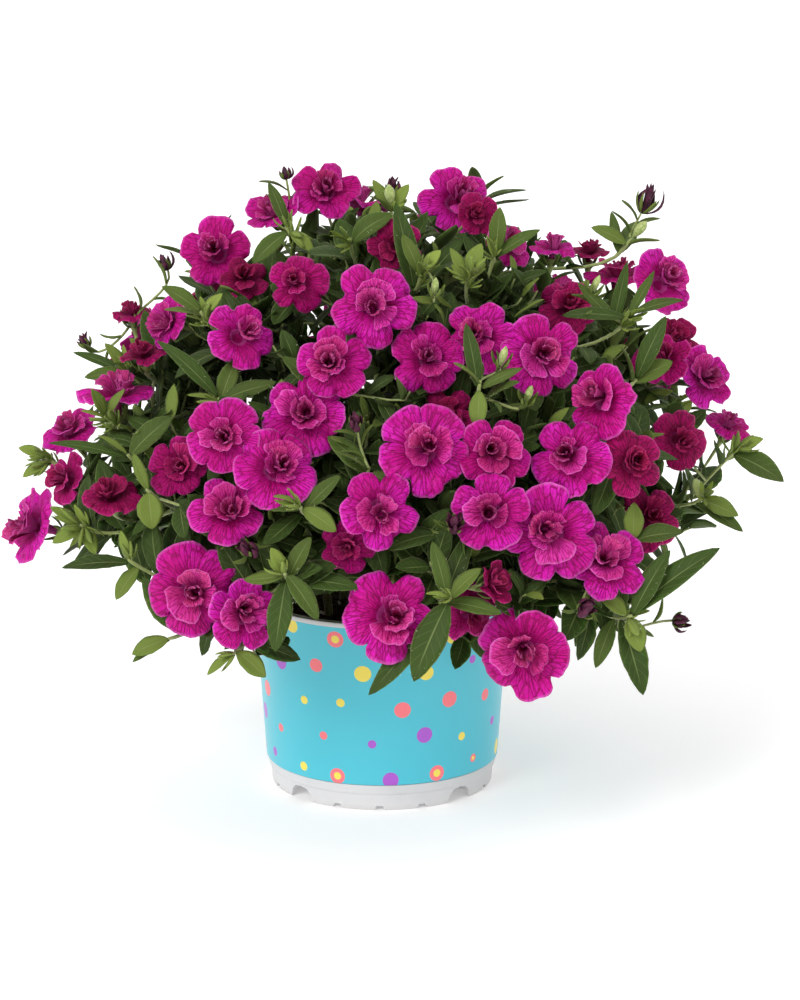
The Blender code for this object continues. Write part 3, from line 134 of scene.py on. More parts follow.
class Slot(Enum):
    """The record's material slots."""

    POT = "white_plastic"
    SLEEVE = "turquoise_sleeve"
    SOIL = "potting_soil"
    GREEN = "green_foliage"
    PETAL = "magenta_petals"


class Tone(Enum):
    """How deep a bloom's colour is, partly as painted shade on blooms that lie behind others."""

    BRIGHT = "bright"
    MID = "mid"
    DEEP = "deep"


# Where the darker blooms show in the photograph, as (across, up) at the pot's axis
# Some have a deeper colour, some lie in shade behind others: their deeper finish is partly painted shade
TONED_AND_SHADED = {
    Tone.DEEP: ((42, 249), (-110, 206), (-119, 126), (115, 138), (131, 150), (6, 235), (91, 233), (49, 86),
                (-58, 219), (-108, 184), (117, 115), (29, 161), (82, 208), (127, 196)),
    Tone.MID: ((-37, 219), (-139, 132), (103, 223), (-90, 138), (-16, 102), (39, 73), (123, 185)),
}
TONE_REACH = 9.0
HIDDEN_DEEP = 0.18


def srgb(red: float, green: float, blue: float) -> Colour:
    """A colour in Blender's linear values.

    Args:
        red: Red, 0 to 255, as a screen shows it.
        green: Green, likewise.
        blue: Blue, likewise.

    Returns:
        Linear red, green, blue and an alpha of 1.
    """
    def linear(value: float) -> float:
        """One channel made linear."""
        share = value / 255
        return share / 12.92 if share <= 0.04045 else ((share + 0.055) / 1.055) ** 2.4

    return linear(red), linear(green), linear(blue), 1.0


def bulge(point: Vector) -> float:
    """How far out a point lies.

    Args:
        point: The point, in millimetres.

    Returns:
        1 on the canopy's dome, less inside it.
    """
    offset = point - DOME_CENTRE
    rise = DOME_RISE if offset.z > 0 else DOME_SAG
    return sqrt((offset.x / DOME_ACROSS) ** 2 + (offset.y / DOME_DEEP) ** 2 + (offset.z / rise) ** 2)


def outward(point: Vector) -> Vector:
    """The way out of the canopy.

    Args:
        point: A point, in millimetres.

    Returns:
        The unit normal of the dome through it.
    """
    offset = point - DOME_CENTRE
    rise = DOME_RISE if offset.z > 0 else DOME_SAG
    return Vector((offset.x / DOME_ACROSS ** 2, offset.y / DOME_DEEP ** 2, offset.z / rise ** 2)).normalized()


def sight_line(across: float, up: float) -> Vector:
    """The unit direction from the eye through a place across from the pot's axis and up from its foot."""
    aimed = VIEW_AIM + Vector((across - VIEW_MIDDLE[0], 0, 0)) + VIEW_RISE * (up - VIEW_MIDDLE[1])
    return (aimed - EYE).normalized()


def seen_at(point: Vector) -> Span:
    """Where a point shows in the reference view.

    Args:
        point: The point, in millimetres.

    Returns:
        Millimetres across and up, as sight_line takes them.
    """
    offset = point - EYE
    scale = VIEW_DISTANCE / -offset.dot(VIEW_BACK)
    return VIEW_MIDDLE[0] + offset.x * scale, VIEW_MIDDLE[1] + (point - VIEW_AIM).dot(VIEW_RISE) * scale


def meet_dome(across: float, up: float, out: float = 1.0) -> Vector:
    """Where a line of sight meets the dome swelled to out, or passes it by most closely.

    Args:
        across: Millimetres right of the pot's axis.
        up: Millimetres up from the pot's foot.
        out: How far the dome is swelled.

    Returns:
        The point, in millimetres.
    """
    line = sight_line(across, up)
    points = [EYE + line * (VIEW_DISTANCE + step * SEARCH_STEP) for step in range(SEARCH_NEAR, SEARCH_FAR)]
    for point in points:
        if bulge(point) <= out:
            return point
    return min(points, key=bulge)


@dataclass(frozen=True)
class Wire:
    """A node's socket whose value can be used in sums."""

    graph: Graph
    socket: bpy.types.NodeSocket

    def sum(self, operation: str, *others: Any) -> Wire:
        """A Math node on this value and any others, in the node's order."""
        return self.graph.add("ShaderNodeMath", {"operation": operation}, dict(enumerate((self, *others))))

    def __add__(self, other: Any) -> Wire:
        """This value plus another."""
        return self.sum("ADD", other)

    __radd__ = __add__

    def __sub__(self, other: Any) -> Wire:
        """This value less another."""
        return self.sum("SUBTRACT", other)

    def __rsub__(self, other: Any) -> Wire:
        """Another value less this."""
        return self.sum("MULTIPLY_ADD", -1.0, other)

    def __mul__(self, other: Any) -> Wire:
        """This value times another."""
        return self.sum("MULTIPLY", other)

    __rmul__ = __mul__

    def __truediv__(self, other: Any) -> Wire:
        """This value over another."""
        return self.sum("DIVIDE", other)

    def __pow__(self, other: Any) -> Wire:
        """This value raised to a power."""
        return self.sum("POWER", other)

    def step(self, low: float, high: float) -> Wire:
        """A smooth step that is 0 below low and 1 above high, or falls where high is under low."""
        values = {"Value": self, "From Min": low, "From Max": high}
        return self.graph.add("ShaderNodeMapRange", {"interpolation_type": "SMOOTHSTEP"}, values)


class Graph:
    """A node tree, made one node at a time."""

    def __init__(self, tree: bpy.types.NodeTree) -> None:
        """Keep the tree."""
        self.tree = tree

    def add(self, kind: str, settings: dict[str, Any] | None = None, sockets: dict[Any, Any] | None = None,
            out: int | str = 0) -> Wire:
        """Make one node.

        Args:
            kind: The node's type.
            settings: Its settings; stops are a ramp's (position, colour) pairs.
            sockets: Values or wires for its inputs, by name or number.
            out: The output to give back.

        Returns:
            The output as a wire.
        """
        node = self.tree.nodes.new(kind)
        for name, value in (settings or {}).items():
            if name != "stops":
                setattr(node, name, value)
                continue
            ramp = node.color_ramp
            ramp.interpolation = "CONSTANT"
            while len(ramp.elements) < len(value):
                ramp.elements.new(1.0)
            for element, (place, colour) in zip(ramp.elements, value):
                element.position = place
                element.color = colour
        for name, value in (sockets or {}).items():
            if isinstance(value, Wire):
                self.tree.links.new(value.socket, node.inputs[name])
            else:
                node.inputs[name].default_value = value
        return Wire(self, node.outputs[out])


class Paint(Graph):
    """A material's nodes, round one Principled shader."""

    def __init__(self, name: str) -> None:
        """Start a material."""
        self.material = bpy.data.materials.new(name)
        self.material.use_nodes = True
        super().__init__(self.material.node_tree)
        self.shader = self.tree.nodes["Principled BSDF"]

    def held(self, name: str) -> Wire:
        """A value that the mesh's points hold."""
        return self.add("ShaderNodeAttribute", {"attribute_name": name}, out="Fac")

    def place(self, scale: float = 1.0, high: float = 1.0) -> Wire:
        """The object's own coordinates, scaled, and scaled again upwards by high."""
        own = self.add("ShaderNodeTexCoord", out="Object")
        return self.add("ShaderNodeMapping", {}, {"Vector": own, "Scale": (scale, scale, scale * high)})

    def noise(self, scale: float, detail: float = 2.0, rough: float = 0.5, high: float = 1.0) -> Wire:
        """Noise on the object's own coordinates, mostly between 0.3 and 0.7."""
        return self.add("ShaderNodeTexNoise", {}, {"Vector": self.place(scale, high), "Scale": 1.0,
                                                   "Detail": detail, "Roughness": rough})

    def cells(self, x: Wire, y: Wire, z: Wire) -> Wire:
        """How far a place lies from the nearest edge of irregular cells."""
        return self.add("ShaderNodeTexVoronoi", {"feature": "DISTANCE_TO_EDGE"},
                        {"Vector": self.vector(x, y, z), "Scale": 1.0})

    def blend(self, share: Any, first: Any, second: Any) -> Wire:
        """The first colour with a share of the second mixed in."""
        settings = {"data_type": "RGBA", "clamp_factor": True}
        return self.add("ShaderNodeMix", settings, {0: share, 6: first, 7: second}, 2)

    def coats(self, base: Any, *coats: tuple[Any, Any]) -> Wire:
        """A colour with further ones laid over it in turn.

        Args:
            base: The colour underneath.
            *coats: The share and the colour of each further one.

        Returns:
            The colour that shows.
        """
        for share, colour in coats:
            base = self.blend(share, base, colour)
        return base

    def vector(self, x: Any, y: Any, z: Any = 0.0) -> Wire:
        """Three values as one vector."""
        return self.add("ShaderNodeCombineXYZ", {}, {0: x, 1: y, 2: z})

    def parts(self, vector: Wire) -> tuple[Wire, Wire, Wire]:
        """A vector's three values."""
        node = self.add("ShaderNodeSeparateXYZ", {}, {0: vector}).socket.node
        return tuple(Wire(self, output) for output in node.outputs)

    def finish(self, colour: Any, roughness: Any, bump: Wire | None = None, depth: float = 0.0,
               **fixed: Any) -> Material:
        """Set the shader's own sockets.

        Args:
            colour: Base Color, a wire or a colour.
            roughness: Roughness, a wire or a number.
            bump: The height of the surface's relief, if it has any.
            depth: How deep that relief is, in millimetres.
            **fixed: Other sockets' fixed values, their names with _ for a space.

        Returns:
            The material.
        """
        values = {"Base Color": colour, "Roughness": roughness}
        if bump is not None:
            values["Normal"] = self.add("ShaderNodeBump", {}, {"Height": bump, "Distance": depth * MM,
                                                               "Strength": 1.0})
        for name, value in fixed.items():
            values[name.replace("_", " ")] = value
        for name, value in values.items():
            if isinstance(value, Wire):
                self.tree.links.new(value.socket, self.shader.inputs[name])
            else:
                self.shader.inputs[name].default_value = value
        return self.material


def linked(name: str, data: bpy.types.ID) -> Thing:
    """A new object in the scene.

    Args:
        name: Its name.
        data: The mesh, lamp or camera that it shows.

    Returns:
        The object.
    """
    thing = bpy.data.objects.new(name, data)
    bpy.context.scene.collection.objects.link(thing)
    return thing


def settle(thing: Thing) -> None:
    """Make an object's modifiers part of its mesh.

    Args:
        thing: The object.
    """
    view = bpy.context.evaluated_depsgraph_get()
    mesh = bpy.data.meshes.new_from_object(thing.evaluated_get(view))
    thing.modifiers.clear()
    thing.data = mesh


class Recipe(Graph):
    """A Geometry Nodes tree with named sizes, baked to a plain mesh."""

    def __init__(self, name: str, sizes: dict[str, float | int]) -> None:
        """Start a tree.

        Args:
            name: Its name.
            sizes: Its inputs' names and values; a whole number makes a whole-number input.
        """
        super().__init__(bpy.data.node_groups.new(name, "GeometryNodeTree"))
        for way in ("INPUT", "OUTPUT"):
            self.tree.interface.new_socket("Geometry", in_out=way, socket_type="NodeSocketGeometry")
        for key, value in sizes.items():
            kind = "NodeSocketInt" if isinstance(value, int) else "NodeSocketFloat"
            self.tree.interface.new_socket(key, in_out="INPUT", socket_type=kind)
        self.sizes = sizes
        self.source = self.tree.nodes.new("NodeGroupInput")

    def size(self, name: str) -> Wire:
        """One of the tree's inputs."""
        return Wire(self, self.source.outputs[name])

    def sown(self) -> tuple[Wire, Wire]:
        """Points strewn as thickly as the base's sown value says.

        Returns:
            The points, and the turns that stand shapes on them.
        """
        here = self.add("GeometryNodeInputNamedAttribute", {"data_type": "FLOAT"}, {"Name": "sown"},
                        "Attribute")
        density = here * self.size("Density")
        values = {"Mesh": self.size("Geometry"), "Density": density, "Seed": self.size("Seed")}
        points = self.add("GeometryNodeDistributePointsOnFaces", {"distribute_method": "RANDOM"}, values)
        return points, Wire(self, points.socket.node.outputs["Rotation"])

    def stood(self, points: Wire, shape: Wire, stand: Wire, turn: Wire, swell: Wire) -> Wire:
        """A shape stood on each point.

        Args:
            points: The points.
            shape: The shape.
            stand: The turns that stand it up.
            turn: Three further angles for each point.
            swell: Its scale at each point.

        Returns:
            The instances.
        """
        further = self.add("FunctionNodeEulerToRotation", {}, {0: turn})
        spun = self.add("FunctionNodeRotateRotation", {"rotation_space": "LOCAL"},
                        {"Rotation": stand, "Rotate By": further})
        return self.add("GeometryNodeInstanceOnPoints", {},
                        {"Points": points, "Instance": shape, "Rotation": spun, "Scale": swell})

    def chance(self, low: Any, high: Any, kind: str = "FLOAT", seed: int = 0) -> Wire:
        """A random value for each point.

        Args:
            low: The least, a number, or three for a vector.
            high: The most, likewise.
            kind: FLOAT or FLOAT_VECTOR.
            seed: The draw's own seed.

        Returns:
            The value.
        """
        first = 2 if kind == "FLOAT" else 0
        sockets = {first: low, first + 1: high, "Seed": seed}
        return self.add("FunctionNodeRandomValue", {"data_type": kind}, sockets, first // 2)

    def bake(self, base: Thing, name: str, grown: Wire, material: Material) -> Thing:
        """Run the tree on an object's mesh and keep the result as a new object.

        Args:
            base: The object whose mesh the tree reads.
            name: The new object's name.
            grown: The tree's instances.
            material: What they are made of.

        Returns:
            The new object, a plain mesh.
        """
        real = self.add("GeometryNodeRealizeInstances", {}, {"Geometry": grown})
        done = self.add("GeometryNodeSetMaterial", {}, {"Geometry": real, "Material": material})
        end = self.tree.nodes.new("NodeGroupOutput")
        self.tree.links.new(done.socket, end.inputs["Geometry"])
        thing = linked(name, base.data)
        modifier = thing.modifiers.new("Recipe", "NODES")
        modifier.node_group = self.tree
        for item in self.tree.interface.items_tree:
            if item.in_out == "INPUT" and item.name in self.sizes:
                modifier[item.identifier] = self.sizes[item.name]
        settle(thing)
        return thing


@dataclass(frozen=True)
class PetalFinish:
    """Thin petals: a coloured limb, darker branching veins, a pale rim and mottles as painted highlight, a
    paler back.
    """

    name: str
    limb: Colour
    light: Colour
    heart: Colour
    vein: Colour
    rim: Colour
    coral: Colour

    veins_round: float = 8.5
    veins_along: float = 2.4
    finer_round: float = 2.3
    finer_along: float = 3.6

    def build(self) -> Material:
        """Make the petals' material.

        Returns:
            The material.
        """
        graph = Paint(self.name)
        reach = graph.held("reach")
        aside = graph.held("aside")
        inner = graph.held("inner")
        behind = graph.held("behind")
        ripe = graph.held("young")
        flat = graph.add("ShaderNodeTexCoord", out="UV")
        centred = graph.add("ShaderNodeVectorMath", {"operation": "SUBTRACT"}, {0: flat, 1: (0.5, 0.5, 0.0)})
        round_axis = graph.add("ShaderNodeVectorMath", {"operation": "NORMALIZE"}, {0: centred})
        x, y, _ = graph.parts(round_axis)
        wobble = graph.noise(160) - 0.5
        apart = inner * 7.0
        along = reach * self.veins_along + wobble * 0.5 + apart
        net = graph.cells(x * self.veins_round, y * self.veins_round, along)
        finer = self.veins_round * self.finer_round
        fine = graph.cells(x * finer, y * finer, along * self.finer_along)
        midrib = aside.step(0.06, 0.0)
        veins = net.step(0.14, 0.01) * 0.84 + fine.step(0.15, 0.0) * 0.50 + midrib * 0.6
        patch = graph.noise(75, 4.0)
        highlight_mottle = graph.noise(420, 3.0, 0.6)
        colour = graph.coats(
            self.limb,
            (patch.step(0.38, 0.64), self.light),
            # Painted highlight: pale mottles, stronger towards the rim
            (highlight_mottle.step(0.46, 0.72) * (0.04 + reach * 0.16), self.rim),
            (ripe * 0.55, self.heart),
            ((1.0 - reach) ** 1.4 * (0.95 - inner * 0.6), self.heart),
            (inner * (0.36 + 0.5 * reach.step(0.2, 1.0)), self.coral),
            (veins * (1.15 - reach * 0.42) * (1.0 - inner * 0.3), self.vein),
            # Painted highlight: a thin pale rim along the petals' edges
            (reach.step(0.92, 1.0) * (0.35 + patch.step(0.3, 0.7) * 0.4), self.rim),
            (behind * 0.30, self.rim),
        )
        relief = net.step(0.0, 0.20) * 0.7 + fine.step(0.0, 0.25) * 0.5 - midrib * 0.6 + patch * 0.8
        return graph.finish(colour, 0.55 + patch * 0.2, relief, 0.26, Subsurface_Weight=0.18,
                            Subsurface_Radius=(1.0, 0.2, 0.6), Subsurface_Scale=0.0014,
                            Specular_IOR_Level=0.14)


@dataclass(frozen=True)
class LeafFinish:
    """Downy blades: dark above, paler below, with a pale midrib, faint side veins and a pale fringe."""

    name: str
    dark: Colour
    lighter_green: Colour
    young: Colour
    rib: Colour
    under: Colour

    side_veins: float = 7.0
    side_slant: float = 0.22

    def build(self) -> Material:
        """Make the blades' material.

        Returns:
            The material.
        """
        graph = Paint(self.name)
        u, v, _ = graph.parts(graph.add("ShaderNodeTexCoord", out="UV"))
        offset = (u - 0.5).sum("ABSOLUTE") * 2.0
        young = graph.held("young")
        shade = graph.held("shade")
        below = graph.held("behind")
        patch = graph.noise(90, 3.0)
        rib = offset.step(0.075, 0.02) * v.step(1.02, 0.5)
        comb = ((v - offset * self.side_slant) * self.side_veins).sum("FRACT")
        side = (comb - 0.5).sum("ABSOLUTE").step(0.09, 0.0) * offset.step(0.0, 0.2)
        colour = graph.coats(
            # Painted shade: the shade value mixes the lighter green over the dark, so leaves deep in the
            # canopy stay dark
            self.dark,
            (shade, self.lighter_green),
            (patch.step(0.4, 0.75) * 0.4, self.lighter_green),
            (young, self.young),
            (side * 0.16, self.rib),
            (rib * 0.52, self.rib),
            (offset.step(0.86, 1.0) * 0.55, self.rib),
            (below * 0.6, self.under),
        )
        down = graph.noise(1900, 1.0)
        relief = down * 0.35 - side * 0.5 - rib * 0.6
        return graph.finish(colour, 0.48 + patch * 0.22, relief, 0.16, Sheen_Weight=0.05,
                            Sheen_Roughness=0.35, Sheen_Tint=srgb(205, 215, 180), Subsurface_Weight=0.12,
                            Subsurface_Radius=(0.5, 1.0, 0.2), Subsurface_Scale=0.0010,
                            Specular_IOR_Level=0.14)


@dataclass(frozen=True)
class StemFinish:
    """Stems and calyces: light green at their ends, browner low down, with a downy grain."""

    name: str
    green: Colour
    woody: Colour
    hoary: Colour

    def build(self) -> Material:
        """Make the stems' material.

        Returns:
            The material.
        """
        graph = Paint(self.name)
        _, _, height = graph.parts(graph.place())
        grain = graph.noise(700, 3.0, high=0.25)
        patch = graph.noise(55)
        old = (height + patch * 0.03).step(0.125, 0.085)
        colour = graph.coats(self.green, (old, self.woody), (grain.step(0.35, 0.8) * 0.45, self.hoary))
        return graph.finish(colour, 0.62, grain, 0.12, Sheen_Weight=0.3, Specular_IOR_Level=0.3)


@dataclass(frozen=True)
class PlainFinish:
    """A small part's finish: two close colours in a fine speckle."""

    name: str
    first: Colour
    second: Colour
    scale: float
    roughness: float
    depth: float
    sheen: float = 0.0
    glow: float = 0.0

    def build(self) -> Material:
        """Make the speckled material.

        Returns:
            The material.
        """
        graph = Paint(self.name)
        speckle = graph.noise(self.scale, 4.0, 0.6)
        colour = graph.blend(speckle.step(0.35, 0.68), self.first, self.second)
        return graph.finish(colour, self.roughness + (speckle - 0.5) * 0.2, speckle, self.depth,
                            Sheen_Weight=self.sheen, Specular_IOR_Level=0.30,
                            Emission_Color=(1.0, 1.0, 1.0, 1.0), Emission_Strength=self.glow)


@dataclass(frozen=True)
class PlasticFinish:
    """Moulded white plastic with a faint drawn grain and a little potting dust low on the foot."""

    name: str
    clean: Colour
    dull: Colour
    dust: Colour

    def build(self) -> Material:
        """Make the pot's material.

        Returns:
            The material.
        """
        graph = Paint(self.name)
        _, _, height = graph.parts(graph.place())
        cloud = graph.noise(28, 4.0)
        grain = graph.noise(1400, high=0.3)
        low = (height + cloud * 0.004).step(0.0045, 0.0005)
        specks = graph.noise(900, 3.0, 0.7).step(0.60, 0.72)
        colour = graph.coats(self.clean, (cloud.step(0.38, 0.7) * 0.6, self.dull),
                             (low * 0.22 + specks * 0.10, self.dust))
        return graph.finish(colour, 0.34 + cloud * 0.14, grain + cloud * 2.0, 0.05)


@dataclass(frozen=True)
class SleeveFinish:
    """A printed turquoise sleeve with staggered rows of plain dots and rings."""

    name: str
    ground: Colour
    shadow: Colour
    inks: tuple[Colour, ...]

    dots_round: int = 15
    row_height: float = 15.5
    middle_radius: float = 53.2
    first_row: float = 9.0
    big: float = 3.6
    small: float = 1.9
    jitter: float = 0.16
    second_lot: float = 7.31
    third_lot: float = 3.7

    def build(self) -> Material:
        """Make the sleeve's material.

        Returns:
            The material.
        """
        graph = Paint(self.name)
        x, y, z = graph.parts(graph.place(1 / MM))
        turn = y.sum("ARCTAN2", x) / (2 * pi) * self.dots_round
        level = (z - self.first_row) / self.row_height
        row = level.sum("FLOOR")
        shifted = turn + row.sum("FLOORED_MODULO", 2.0) * 0.5
        whole = shifted.sum("FLOOR")
        column = whole.sum("FLOORED_MODULO", float(self.dots_round))
        lot = graph.add("ShaderNodeTexWhiteNoise", {"noise_dimensions": "2D"},
                        {"Vector": graph.vector(column, row)}, "Color")
        first, second, third = graph.parts(lot)
        width = 2 * pi * self.middle_radius / self.dots_round
        across = (shifted - whole - 0.5 + (first - 0.5) * self.jitter * 2) * width
        up = (level - row - 0.5 + (second - 0.5) * self.jitter * 2) * self.row_height
        apart = (across * across + up * up) ** 0.5
        size = self.small + (self.big - self.small) * third.step(0.25, 0.75)
        dot = (apart / size).step(1.03, 0.97)
        ring = (apart / size).step(0.50, 0.46) * first.step(0.45, 0.46)
        ink_stops = tuple((index / len(self.inks), ink) for index, ink in enumerate(self.inks))
        pick = (second * self.second_lot + third * self.third_lot).sum("FRACT")
        ink = graph.add("ShaderNodeValToRGB", {"stops": ink_stops}, {0: pick})
        other_stops = ink_stops[1:] + ((0.999, self.inks[0]),)
        other = graph.add("ShaderNodeValToRGB", {"stops": other_stops}, {0: pick})
        cloud = graph.noise(14)
        colour = graph.coats(self.ground, (cloud.step(0.35, 0.7) * 0.35, self.shadow), (dot, ink),
                             (ring, other))
        grain = graph.noise(2400)
        return graph.finish(colour, 0.30 + grain * 0.08, grain + cloud * 3.0, 0.02, Coat_Weight=0.12,
                            Coat_Roughness=0.25)


# Brighter and deeper copies of one petal finish; the deeper ones are partly painted shade
PETALS = {
    Tone.BRIGHT: PetalFinish("petals_bright", srgb(198, 2, 144), srgb(222, 26, 188), srgb(184, 6, 110),
                             srgb(128, 0, 74), srgb(236, 112, 200), srgb(246, 96, 150)),
    Tone.MID: PetalFinish("petals_mid", srgb(176, 0, 112), srgb(202, 6, 138), srgb(158, 0, 82),
                          srgb(108, 0, 54), srgb(220, 88, 166), srgb(230, 70, 118)),
    Tone.DEEP: PetalFinish("petals_deep", srgb(154, 0, 84), srgb(184, 2, 108), srgb(130, 0, 60),
                           srgb(86, 0, 42), srgb(202, 64, 132), srgb(212, 54, 102)),
}
LEAVES = LeafFinish("blades", srgb(46, 60, 25), srgb(60, 80, 31), srgb(136, 154, 68), srgb(130, 146, 88),
                    srgb(96, 112, 62))
STEMS = StemFinish("stems", srgb(138, 150, 82), srgb(92, 76, 50), srgb(176, 190, 128))
SPENT = PlainFinish("spent_petals", srgb(52, 20, 36), srgb(98, 34, 66), 600, 0.65, 0.3)
BUDDED = PlainFinish("green_buds", srgb(128, 152, 74), srgb(190, 200, 130), 420, 0.55, 0.15, 0.3)
DOWN = PlainFinish("down", srgb(196, 208, 160), srgb(224, 230, 200), 200, 0.5, 0.0)
PEAT = PlainFinish("peat", srgb(38, 26, 18), srgb(78, 56, 38), 420, 0.92, 0.5)
PERLITE = PlainFinish("perlite", srgb(214, 210, 200), srgb(240, 238, 232), 900, 0.85, 0.3)
PLASTIC = PlasticFinish("pot_plastic", srgb(213, 212, 213), srgb(196, 196, 198), srgb(136, 122, 106))
FLOOR = PlainFinish("pale_floor", srgb(250, 250, 250), srgb(252, 252, 252), 3, 0.9, 0.0, glow=0.20)
PRINT = SleeveFinish("sleeve_print", srgb(76, 195, 213), srgb(58, 180, 201),
                     (srgb(250, 120, 128), srgb(244, 222, 86), srgb(172, 84, 202), srgb(250, 120, 128)))


class Heap:
    """Small meshes gathered into one object, with their UV, their slots and the values their points hold."""

    VALUES = ("reach", "aside", "inner", "behind", "young", "shade", "sown")

    def __init__(self) -> None:
        """Start empty."""
        self.points: list[np.ndarray] = []
        self.flats: list[np.ndarray] = []
        self.values: dict[str, list[np.ndarray]] = {name: [] for name in self.VALUES}
        self.faces: list[tuple[int, ...]] = []
        self.slots: list[int] = []
        self.count = 0

    def add(self, points: np.ndarray, faces: Iterable[Sequence[int]], flat: np.ndarray | None = None,
            slot: int = 0, **values: Any) -> None:
        """Put one mesh on the heap.

        Args:
            points: Its corners in millimetres, one a row.
            faces: Its faces as corner numbers.
            flat: Its UV, one row a corner.
            slot: Its material's number.
            **values: What its points hold, one number or one for each corner.
        """
        size = len(points)
        self.points.append(points)
        self.flats.append(np.zeros((size, 2)) if flat is None else flat)
        for name in self.VALUES:
            self.values[name].append(np.broadcast_to(np.asarray(values.get(name, 0.0), float), (size,)))
        base = self.count
        before = len(self.faces)
        self.faces.extend(tuple(index + base for index in face) for face in faces)
        self.slots.extend([slot] * (len(self.faces) - before))
        self.count += size

    def build(self, name: str, materials: Sequence[Material]) -> Thing:
        """Make the object.

        Args:
            name: Its name.
            materials: Its materials, in slot order.

        Returns:
            The linked object, at the origin, in metres.
        """
        mesh = bpy.data.meshes.new(name)
        mesh.from_pydata((np.concatenate(self.points) * MM).tolist(), [], self.faces)
        mesh.polygons.foreach_set("material_index", self.slots)
        mesh.polygons.foreach_set("use_smooth", [True] * len(mesh.polygons))
        corners = np.empty(len(mesh.loops), np.int32)
        mesh.loops.foreach_get("vertex_index", corners)
        flat = np.concatenate(self.flats)[corners]
        mesh.uv_layers.new(name="UVMap").data.foreach_set("uv", flat.ravel())
        for value, held in self.values.items():
            gathered = np.concatenate(held)
            if gathered.any():
                mesh.attributes.new(value, "FLOAT", "POINT").data.foreach_set("value", gathered)
        for material in materials:
            mesh.materials.append(material)
        mesh.update()
        return linked(name, mesh)


def wrap(rings: np.ndarray, start: np.ndarray, end: np.ndarray) -> Mesh:
    """A closed skin over rings of points, with a pole at each end.

    Args:
        rings: The points, as ring, place round it, axis. Each ring turns anticlockwise seen from the start.
        start: The pole before the first ring.
        end: The pole after the last.

    Returns:
        Points, the two poles last, and faces that look out.
    """
    count, around, _ = rings.shape
    points = np.concatenate([rings.reshape(-1, 3), start[None], end[None]])
    first = count * around
    faces: list[tuple[int, ...]] = []
    for j in range(around):
        k = (j + 1) % around
        faces.append((first, j, k))
        for i in range(count - 1):
            faces.append((i * around + j, (i + 1) * around + j, (i + 1) * around + k, i * around + k))
        faces.append((first + 1, (count - 1) * around + k, (count - 1) * around + j))
    return points, faces


def tube(path: Sequence[Vector], thick: float, thin: float, sides: int) -> Mesh:
    """A round tapering stem along a path.

    Args:
        path: Its points, in millimetres.
        thick: Its radius at the start.
        thin: Its radius at the end.
        sides: How many sides it has.

    Returns:
        Points and faces.
    """
    rings = []
    side = Vector((0.3, 0.9, 0.1))
    last = len(path) - 1
    turns = np.arange(sides) / sides * 2 * pi
    for place, point in enumerate(path):
        direction = (path[min(place + 1, last)] - path[max(place - 1, 0)]).normalized()
        side = square_to(direction, side)
        other = direction.cross(side)
        radius = thick + (thin - thick) * place / last
        ring = np.outer(np.cos(turns), np.array(side)) - np.outer(np.sin(turns), np.array(other))
        rings.append(np.array(point) + ring * radius)
    return wrap(np.array(rings), np.array(path[0]), np.array(path[-1]))


def bend(start: Vector, pull: Vector, end: Vector, arrive: Vector, count: int) -> list[Vector]:
    """Points along a smooth bend of count stretches, which leaves by pull and comes in by arrive."""
    return interpolate_bezier(start, start + pull, end - arrive, end, count + 1)


def square_to(direction: Vector, near: Vector) -> Vector:
    """The direction nearest another one that is square to a direction.

    Args:
        direction: A unit direction.
        near: The other one.

    Returns:
        A unit direction.
    """
    flat = near - direction * near.dot(direction)
    if flat.length < 1e-6:
        flat = direction.orthogonal()
    return flat.normalized()


@dataclass(frozen=True)
class BloomSeat:
    """Where a bloom's solid stands, in millimetres, and its five lobes' waves."""

    centre: Vector
    facing: Vector
    first: Vector
    radius: float
    cup: float
    waves: tuple[float, ...]

    def to_world(self, local: np.ndarray) -> np.ndarray:
        """Points given in shares of the radius along the bloom's own axes, put in place.

        Args:
            local: Rows of points.

        Returns:
            Rows of points in millimetres.
        """
        second = self.facing.cross(self.first)
        axes = np.array([self.first, second, self.facing])
        return np.array(self.centre) + (local * self.radius) @ axes

    def tone(self, draw: Draw) -> Tone:
        """The bloom's tone, partly painted shade: as it was seen, or drawn where the view hides it.

        Args:
            draw: The generator for hidden blooms.

        Returns:
            The tone.
        """
        chance = draw.random()
        if self.facing.dot(VIEW_BACK) < 0.0 and self.centre.y > 0:
            return Tone.DEEP if chance < HIDDEN_DEEP else Tone.BRIGHT
        across, up = seen_at(self.centre)
        for tone, spots in TONED_AND_SHADED.items():
            if any((across - x) ** 2 + (up - y) ** 2 < TONE_REACH ** 2 for x, y in spots):
                return tone
        return Tone.BRIGHT


@dataclass(frozen=True)
class BladeSeat:
    """Where a leaf's solid lies: root, tip, upper face, width and arch as a share of its length."""

    root: Vector
    tip: Vector
    face: Vector
    width: float
    arch: float


@dataclass(frozen=True)
class BudSeat:
    """Where a furled bud's solid stands."""

    root: Vector
    tip: Vector
    radius: float


